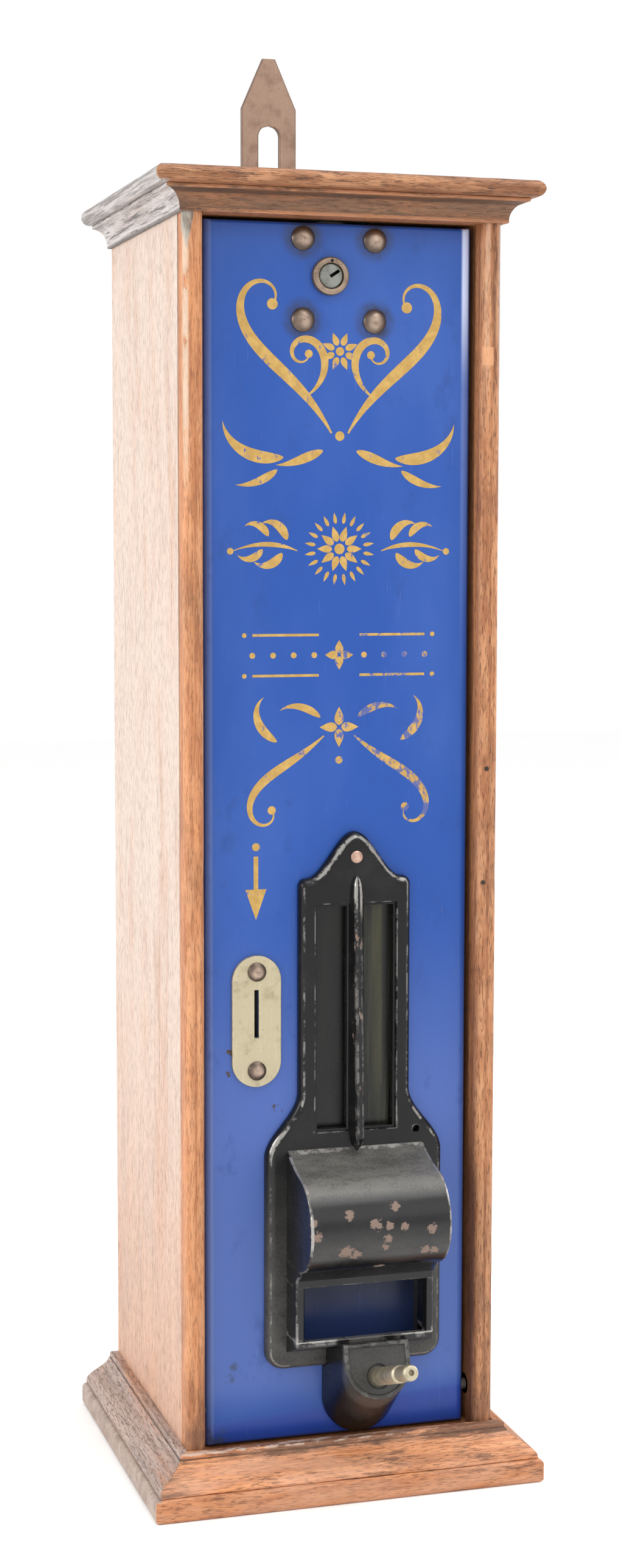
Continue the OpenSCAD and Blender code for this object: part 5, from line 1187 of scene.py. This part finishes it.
out = np.linspace(PLATE_T, TRAY_OUT - 1, 8)
toe = arc((TRAY_OUT - 1, tray_under(TRAY_OUT - 1) + 1), 1, -70, 0, 6)
rise = line((TRAY_Z + 0.9, 4), (MOUTH_LOW - 1.0, 1), (MOUTH_LOW - 0.4, 1), (MOUTH_LOW, 10), (MOUTH_HIGH, 1),
            (MOUTH_HIGH + 0.5, 3), (MOUTH_TOP, 0))
section = np.concatenate([at_points(out, tray_under(out)), toe[1:], at_points(TRAY_OUT, rise), nose,
                          cove[1:]])
hollow = section + left_of(section) * HOOD_WALL
hollow[:, 0] = np.maximum(hollow[:, 0], PLATE_T)


def shell(curve, half_width, r):
    """Section carried across: the depth shrinks to the plate on the side walls, r rounds the edge between."""
    a = np.radians(np.linspace(0, 90, EDGE_N + 1))[1:]
    mid = line((-1, 30), (1, 0))[1:-1] * (half_width - r)
    wall = np.append(np.linspace(0, WALL_STOP, WALL_N - 1), 1.0)
    x_edge = np.concatenate([np.full(WALL_N, half_width), half_width - r * (1 - np.cos(a))])
    x = np.concatenate([-x_edge, mid, x_edge[::-1]])
    share = np.concatenate([wall, np.ones(2 * EDGE_N + len(mid)), wall[::-1]])
    pulled = np.concatenate([np.full(WALL_N, r), r * (1 - np.sin(a))])
    setback = np.concatenate([pulled, np.zeros(len(mid)), pulled[::-1]])
    off = np.maximum(PLATE_T, PLATE_T + (curve[:, :1] - PLATE_T) * share - setback)
    return at_points(CASTING_X + x, PANEL_Y - off, curve[:, 1:])


outer = shell(section, HOOD_HALF, OUTER_EDGE)
inner = shell(hollow, HOOD_HALF - HOOD_WALL, INNER_EDGE)
far, tall = section[:, :1], section[:, 1:]
mid_z = (tall[:-1] + tall[1:]) / 2
mouth = (far[:-1] == TRAY_OUT) & (far[1:] == TRAY_OUT) & (mid_z > MOUTH_LOW) & (mid_z < MOUTH_HIGH)
column = np.minimum(np.arange(outer.shape[1]), np.arange(outer.shape[1])[::-1])
mouth = mouth & (np.minimum(column[:-1], column[1:]) >= WALL_N + EDGE_N)
on_front = abs(far - TRAY_OUT) < 0.01
corner_edge = (column >= WALL_N) & (column < WALL_N + EDGE_N - 1)
rim = bell(np.minimum(abs(tall - MOUTH_LOW), abs(tall - MOUTH_HIGH)), 0.8) * on_front
lip = bell(tall - nose[0, 1], 1.2) * (far > 24) * 0.8
toes = bell(tall - TRAY_Z - 1.5, 1.5) * (far > TRAY_OUT - 1.2)
sill = bell(tall - MOUTH_LOW + 0.3, 0.7) * on_front
# The brow under the plate and the nose's rounded side edges are rubbed metal and painted highlight together.
brow = bell(np.arange(len(section))[:, None] - len(section) + 2, 1.2)
profile_edge = corner_edge * np.clip((tall - 112) / 8, 0, 1) * (far > 8)
rub = 0.68 * np.clip(np.maximum(np.maximum(rim, lip), np.maximum(toes, corner_edge)), 0, 1)
rub = np.maximum(np.maximum(rub, 1.18 * brow), np.maximum(1.45 * sill, 1.22 * profile_edge))
make_piece("iron_hood_and_tray", slab(outer, inner, ~mouth), "door", "black_iron", irons["hood"],
           ["delivery_hood"], rub)

# %% [markdown]
# The boss under the tray is a half-round cone that carries the plunger. Its rings start as an arch at the
# panel, shrink to the tilted face, step over a rim and run back down the round bore to the panel, all with
# the same count. The last ring is the first again, so the skin closes on itself and the bore stays free.

# %% Plunger boss
OUT_AXIS = np.array([0, -np.cos(TILT), np.sin(TILT)])
UP_AXIS = np.array([0, np.sin(TILT), np.cos(TILT)])
SPOT = np.array([BOSS_X, PANEL_Y - BOSS_OUT, BOSS_Z])
FACE_HALF, FACE_UP, FACE_DOWN, FOOT_HALF, FOOT_Z = 14.5, 14.4, 9.5, 16.5, 23.1
KNEE, BODY_N, RIM_IN, BORE_R, LIP_R, LIP_IN, LIP_T = 2.0, 24, 2.1, 5.1, 4.0, -1.4, 0.07


def arch(half, centre, top):
    """Outline with a half-round foot, straight sides and a flat top, from the left of the foot round."""
    up = np.linspace(centre, top, 9)[1:]
    return np.concatenate([arc((0, centre), half, -180, 0, 49), at_points(half, up),
                           at_points(np.linspace(half, -half, 25)[1:], top), at_points(-half, up[-2::-1])])


def on_face(flat, out):
    """Points drawn on the boss face, moved out along the plunger."""
    return SPOT + flat[:, :1] * np.array([1.0, 0, 0]) + flat[:, 1:] * UP_AXIS + out * OUT_AXIS


foot2d = arch(FOOT_HALF, FOOT_Z + FOOT_HALF, TRAY_BACK_Z + 5)
foot = at_points(BOSS_X + foot2d[:, 0], PANEL_Y, foot2d[:, 1])
knee = foot - [0, KNEE, 0]
rims = [arch(FACE_HALF - c, FACE_HALF - FACE_DOWN, FACE_UP - c) for c in (0, 0, 0.25, 0.7, 1.5, 1.9, RIM_IN)]
faces = [on_face(rim, out) for rim, out in zip(rims, (-1.0, 0.2, 0.75, 1.0, 1.0, 0.7, 0.0))]
ray = rims[-1] / np.linalg.norm(rims[-1], axis=1, keepdims=True)
to_panel = (BORE_R * ray[:, 1:] * np.sin(TILT) - BOSS_OUT) / np.cos(TILT)
bores = [on_face(ray * r, out) for r, out in (
    (BORE_R + 0.3, 0.0), (BORE_R, -0.3), (BORE_R, LIP_IN), (LIP_R, LIP_IN), (LIP_R, LIP_IN - LIP_T),
    (BORE_R, LIP_IN - LIP_T), (BORE_R, to_panel))]
body_rings = knee + (faces[0] - knee) * np.linspace(0, 1, BODY_N + 2)[1:-1, None, None]
rings = np.concatenate([foot[None], knee[None], body_rings, faces, bores, foot[None]])
off = PANEL_Y - rings[..., 1]
for limit, roof in ((TRAY_OUT, tray_under(off)), (PLATE_T, FLANGE_Z)):
    rings[..., 2] = np.where(off < limit + 0.2, np.minimum(rings[..., 2], roof - 0.1), rings[..., 2])
rub = np.zeros(rings.shape[:2])
rub[BODY_N + 2:BODY_N + 8] = 0.6
make_piece("iron_plunger_boss", wrap(rings), "door", "black_iron", irons["boss"], ["plunger_boss"], rub)

# %% [markdown]
# Turned pieces are the simplest: a profile of radius and distance along an axis. The plunger has a stout
# rod, a groove and a button with a small centre hole, and its tail runs back through the boss.

# %% Plunger
PLUNGER_R, BUTTON_R, TAIL_R, OUT_L, BUTTON_L, TAIL_L, REST = 3.8, 3.35, 2.2, 30.0, 15.0, 45.0, 8.0
tip, groove = OUT_L + BUTTON_L, BUTTON_R - 0.9
profile = np.concatenate([
    [(0, -TAIL_L), (TAIL_R, -TAIL_L), (TAIL_R, -REST), (PLUNGER_R - 0.3, -REST), (PLUNGER_R, 0.3 - REST),
     (PLUNGER_R, 0), (PLUNGER_R, 12), (PLUNGER_R, OUT_L - 1.2), (PLUNGER_R - 0.25, OUT_L - 0.5),
     (PLUNGER_R - 0.9, OUT_L), (groove, OUT_L + 0.25), (groove, OUT_L + 0.9), (BUTTON_R - 0.3, OUT_L + 1.4),
     (BUTTON_R, OUT_L + 2.0), (BUTTON_R, tip - 6)],
    arc((BUTTON_R - 1.6, tip - 1.6), 1.6, 0, 90, 8),
    [(1.3, tip), (1.1, tip - 0.3), (1.1, tip - 1.6), (0, tip - 1.6)]])
rings = lathe(profile, SPOT, OUT_AXIS)
hot = np.clip(bell(profile[:, 1] - OUT_L, 1.5) + bell(profile[:, 1] - tip, 1.5), 0, 1)
make_piece("brass_plunger", tube(rings), "plunger", "brass", metals["plunger_brass"], ["plunger"],
           capped(hot, rings.shape[1]))

# %% [markdown]
# Bolt heads, screws, the rivet and the lock ring are turned too. Heads that repeat are made once as a
# profile and turned at each centre.

# %% Heads and lock ring
FRONT, HEAD_TURNS = np.array([0, -1.0, 0]), 40


def dome(head_r, head_h, shank_r, shank_l):
    """Profile of a shank under a domed head: a short rim, then an arc of the ball through rim and crown."""
    rise = 0.75 * head_h
    ball = (head_r ** 2 + rise ** 2) / (2 * rise)
    a = np.linspace(np.arcsin(min(1, head_r / ball)), 0, 14)
    cap = np.stack([ball * np.sin(a), head_h - ball + ball * np.cos(a)], -1)
    shank = [(0, -shank_l), (shank_r, -shank_l), (shank_r, 0), (head_r - 0.15, 0), (head_r, 0.15)]
    return np.concatenate([shank, cap])


screw_low, screw_high = span_of("coin_plate_screws")
COIN_SCREW_R, COIN_PLATE_T = 4.0, 1.5
rivet_at = (CASTING_X, middle_of("casting_rivet")[2])
coin_screws = [(COIN_X, screw_low[2] + COIN_SCREW_R), (COIN_X, screw_high[2] - COIN_SCREW_R)]
for name, places, profile, slot, coat, node, out in (
        ("steel_bolt_heads", bolts, dome(BOLT_R, 3.0, 2.4, 17.2), "steel", "bolt_steel", "lock_screws", 0.0),
        ("steel_coin_screws", coin_screws, dome(COIN_SCREW_R, 2.4, 1.6, 5.7), "steel", "bolt_steel",
         "coin_plate_screws", COIN_PLATE_T),
        ("copper_rivet", [rivet_at], dome(2.6, 1.2, 1.6, 6.2), "copper", "rivet_copper",
         "casting_rivet", PLATE_T)):
    turned = [tube(lathe(profile, (x, PANEL_Y - out, z), FRONT, HEAD_TURNS)) for x, z in places]
    # The crown rub brightens each dome's top; on the bolt steel its rim end takes the painted shade.
    crown = np.clip(profile[:, 1] / profile[:, 1].max(), 0, 1) ** 3
    make_piece(name, joined(turned), "door", slot, metals[coat], [node], capped(crown, HEAD_TURNS))

LOCK_AT = (LOCK_X, PANEL_Y, LOCK_Z)
RING_R, RING_H, RING_EDGE, PLUG_R = 7.9, 3.0, 1.2, 5.0
round_edge = arc((RING_R - RING_EDGE, RING_H - RING_EDGE), RING_EDGE, 0, 90, 8)
loop = np.concatenate([[(LOCK_BORE, 0), (RING_R, 0)], round_edge,
                       [(5.9, RING_H), (5.45, RING_H - 0.15), (LOCK_BORE, RING_H - 0.6), (LOCK_BORE, 0)]])
rings = lathe(loop, LOCK_AT, FRONT)
make_piece("brass_lock_ring", wrap(rings), "door", "brass", metals["ring_brass"], ["lock_ring"],
           np.repeat(bell(loop[:, 1] - RING_H, 0.8), rings.shape[1]))

# %% [markdown]
# The plug's face is a disc with a key slot. Rows are chords square to the slot, so the slot's long edges are
# rows and its ends are columns; leaving those cells out gives a real slot with walls.

# %% Lock plug
KEY, KEY_HALF, CRANK, CRANK_R, FACE_EDGE = np.radians(33.0), 0.68, np.radians(-45.0), 5.0, 4.96
FACE_OUT, FACE_BACK, STEM_OUT, STEM_BACK = 2.4, -0.6, -0.7, -8.0
PIN_R, PIN_BACK, COLLAR_R, COLLAR_OUT = 1.5, -11.2, 2.3, -6.5
chord = PLUG_R * np.sin(np.linspace(-np.pi / 2, np.pi / 2, 41))
chord = np.unique(np.concatenate([chord, [-KEY_HALF, KEY_HALF]]).round(6))[:, None]
knots = np.array([-FACE_EDGE, -4.7, -4.2, -3, -1.8, -0.5, 0.8, 2.0, 3.2, 4.2, 4.7, FACE_EDGE])
u = np.clip(chord_half(PLUG_R, chord) / FACE_EDGE, 0, 1) * knots
ease = 0.35 * np.clip(1 - (PLUG_R - np.hypot(u, chord)) / 0.6, 0, 1) ** 2


def plug_grid(depth):
    """The disc's grid, turned by the key's angle and moved out of the panel by a depth."""
    return at_points(LOCK_X + u * np.cos(KEY) - chord * np.sin(KEY), PANEL_Y - depth,
                     LOCK_Z + u * np.sin(KEY) + chord * np.cos(KEY))


cut = np.zeros((len(chord) - 1, len(knots) - 1), bool)
cut[:, 5:9] = np.abs(chord[:-1] + chord[1:]) / 2 < KEY_HALF
face = slab(plug_grid(FACE_OUT - ease), plug_grid(FACE_BACK), ~cut)
stem = tube(lathe([(0, STEM_BACK), (PLUG_R, STEM_BACK), (PLUG_R, STEM_OUT), (0, STEM_OUT)], LOCK_AT, FRONT))
pin_at = (LOCK_X + CRANK_R * np.cos(CRANK), PANEL_Y, LOCK_Z + CRANK_R * np.sin(CRANK))
pin = [(0, PIN_BACK), (PIN_R, PIN_BACK), (PIN_R, STEM_BACK), (COLLAR_R, STEM_BACK), (COLLAR_R, COLLAR_OUT),
       (0, COLLAR_OUT)]
crank = tube(lathe(pin, pin_at, FRONT, 32))
make_piece("nickel_lock_plug", joined([face, stem, crank]), "lock_plug", "nickel_brass",
           metals["plug_nickel"], ["lock_plug"])

# %% [markdown]
# The coin plate is a stadium of pale nickel brass with a slot for the coin. It is the hanger's rule again:
# two half widths for each height.

# %% Coin plate
half_w = (coin_high[0] - coin_low[0]) / 2
mid_low, mid_high = coin_low[2] + half_w, coin_high[2] - half_w
slot_low, slot_high = COIN_Z - COIN_TALL, COIN_Z + COIN_TALL
bend = half_w * np.cos(np.linspace(0, np.pi / 2, 15))
rows = np.unique(np.concatenate([mid_low - bend, np.linspace(mid_low, mid_high, 16), mid_high + bend,
                                 [slot_low - 0.02, slot_low, slot_high, slot_high + 0.02]]).round(5))
past = np.clip(np.maximum(mid_low - rows, rows - mid_high), 0, half_w)
half = chord_half(half_w, past)
slot = np.where((rows >= slot_low - 1e-4) & (rows <= slot_high + 1e-4), COIN_HALF, 0.0)
shape, wear = strip(rows, half, slot, COIN_X, coin_low[1], coin_high[1])
make_piece("nickel_coin_plate", shape, "door", "nickel_brass", metals["slot_nickel"], ["coin_plate"], wear)

# %% [markdown]
# The rest keeps its CAD shape: the works behind the front. Each node gets the finish of its material slot,
# except the pivot pins and bushes, which get raw iron; the window glass is old, greenish and streaked, so it
# only lets a little light through.

# %% Works behind the front
def old_glass():
    """Dark glass with upright streaks, strongest in the right pane, and a yellowish stain down it."""
    place, connect = finish("old_glass", 0.16, Transmission_Weight=0.55, IOR=1.5)
    x, z = place.axes(0, 2)
    streak = place.noise(3.0, (1, 1, 30), 3.0, 0.6)
    smear = place.noise(14.0, (1, 1, 2), 4.0, 0.6, 2.0)
    seen = streak.ramp(0.42, 0.7) * (0.12 + x.ramp(CASTING_X - 3, CASTING_X + 3) * 0.88)
    stain = x.off(CASTING_X + 11.5).ramp(3.2, 0.8) * z.ramp(150, 190) * (0.3 + streak * 0.8)
    colour = (stain * 0.6).mix(seen.mix((0.012, 0.013, 0.012), (0.095, 0.095, 0.06)), (0.20, 0.185, 0.085))
    return connect(Base_Color=colour, Roughness=0.1 + smear * 0.22 + streak * 0.1,
                   bump=streak * 0.4, depth=0.0001)


raw_iron = metals["raw_iron"]
works = {"oak": oaks["inside"], "steel": metals["plain_steel"], "tin_plate": metals["tin_plate"],
         "brass": metals["plunger_brass"], "nickel_brass": metals["slot_nickel"], "blue_paint": blue_paint,
         "black_iron": irons["boss"], "copper": metals["rivet_copper"], "glass": old_glass(),
         "raw_iron": raw_iron}
for row in frame["record"]["subparts"]:
    mesh = nodes[row["node"]].data
    mesh.materials.clear()
    pivot = row["node"] in ("pivot_pins", "pivot_bushes")
    mesh.materials.append(raw_iron if pivot else works[row["material_slot"]])
print(len(works), "finishes on the CAD nodes")

# %% [markdown]
# The room: a pale floor, a white sky and four soft boxes. The main light stands at the left, so the left side
# is brightest. A weak one fills the front, one overhead draws the highlights on the hood, and one at the
# right, a little behind, keeps that side from going dark.

# %% Floor and light
FLOOR_HALF, FLOOR_N, FLOOR_Z = 4.0, 9, -0.00002
spread = np.linspace(-FLOOR_HALF, FLOOR_HALF, FLOOR_N)
mesh = bpy.data.meshes.new("floor")
mesh.from_pydata(at_points(spread, spread[:, None], FLOOR_Z).reshape(-1, 3).tolist(), [],
                 cells_of(np.arange(FLOOR_N ** 2).reshape(FLOOR_N, FLOOR_N)).reshape(-1, 4).tolist())
place, connect = finish("floor_white", 0.2)
tone = place.noise(300.0)
tint = tone.mix((0.97, 0.97, 0.97), (0.985, 0.985, 0.98))
mesh.materials.append(connect(Base_Color=tint, Roughness=0.7 + tone * 0.1))
floor = bpy.data.objects.new("floor", mesh)
bpy.context.scene.collection.objects.link(floor)

world = bpy.data.worlds.new("room")
world.use_nodes = True
sky = world.node_tree.nodes["Background"].inputs
sky["Color"].default_value, sky["Strength"].default_value = (1.0, 1.0, 1.0, 1.0), 1.0
bpy.context.scene.world = world

for name, at, aim, size, watts in (("left_box", (-1.5, -0.25, 0.75), (0, 0, 0.34), 0.7, 12),
                                   ("front_box", (0.55, -1.7, 1.15), (0, 0, 0.3), 1.1, 3),
                                   ("top_box", (0.3, -0.35, 1.5), (0, -0.05, 0.2), 1.0, 9),
                                   ("right_box", (1.45, 0.45, 0.75), (0, 0, 0.4), 0.7, 7)):
    lamp = bpy.data.lights.new(name, "AREA")
    lamp.size, lamp.energy = size, watts
    look = np.subtract(aim, at) / np.linalg.norm(np.subtract(aim, at))
    side = np.cross(look, [0, 0, 1.0])
    side = side / np.linalg.norm(side)
    put(name, lamp, at, side, np.cross(side, look))
bpy.context.scene.view_settings.view_transform = "Standard"
print("four soft boxes")
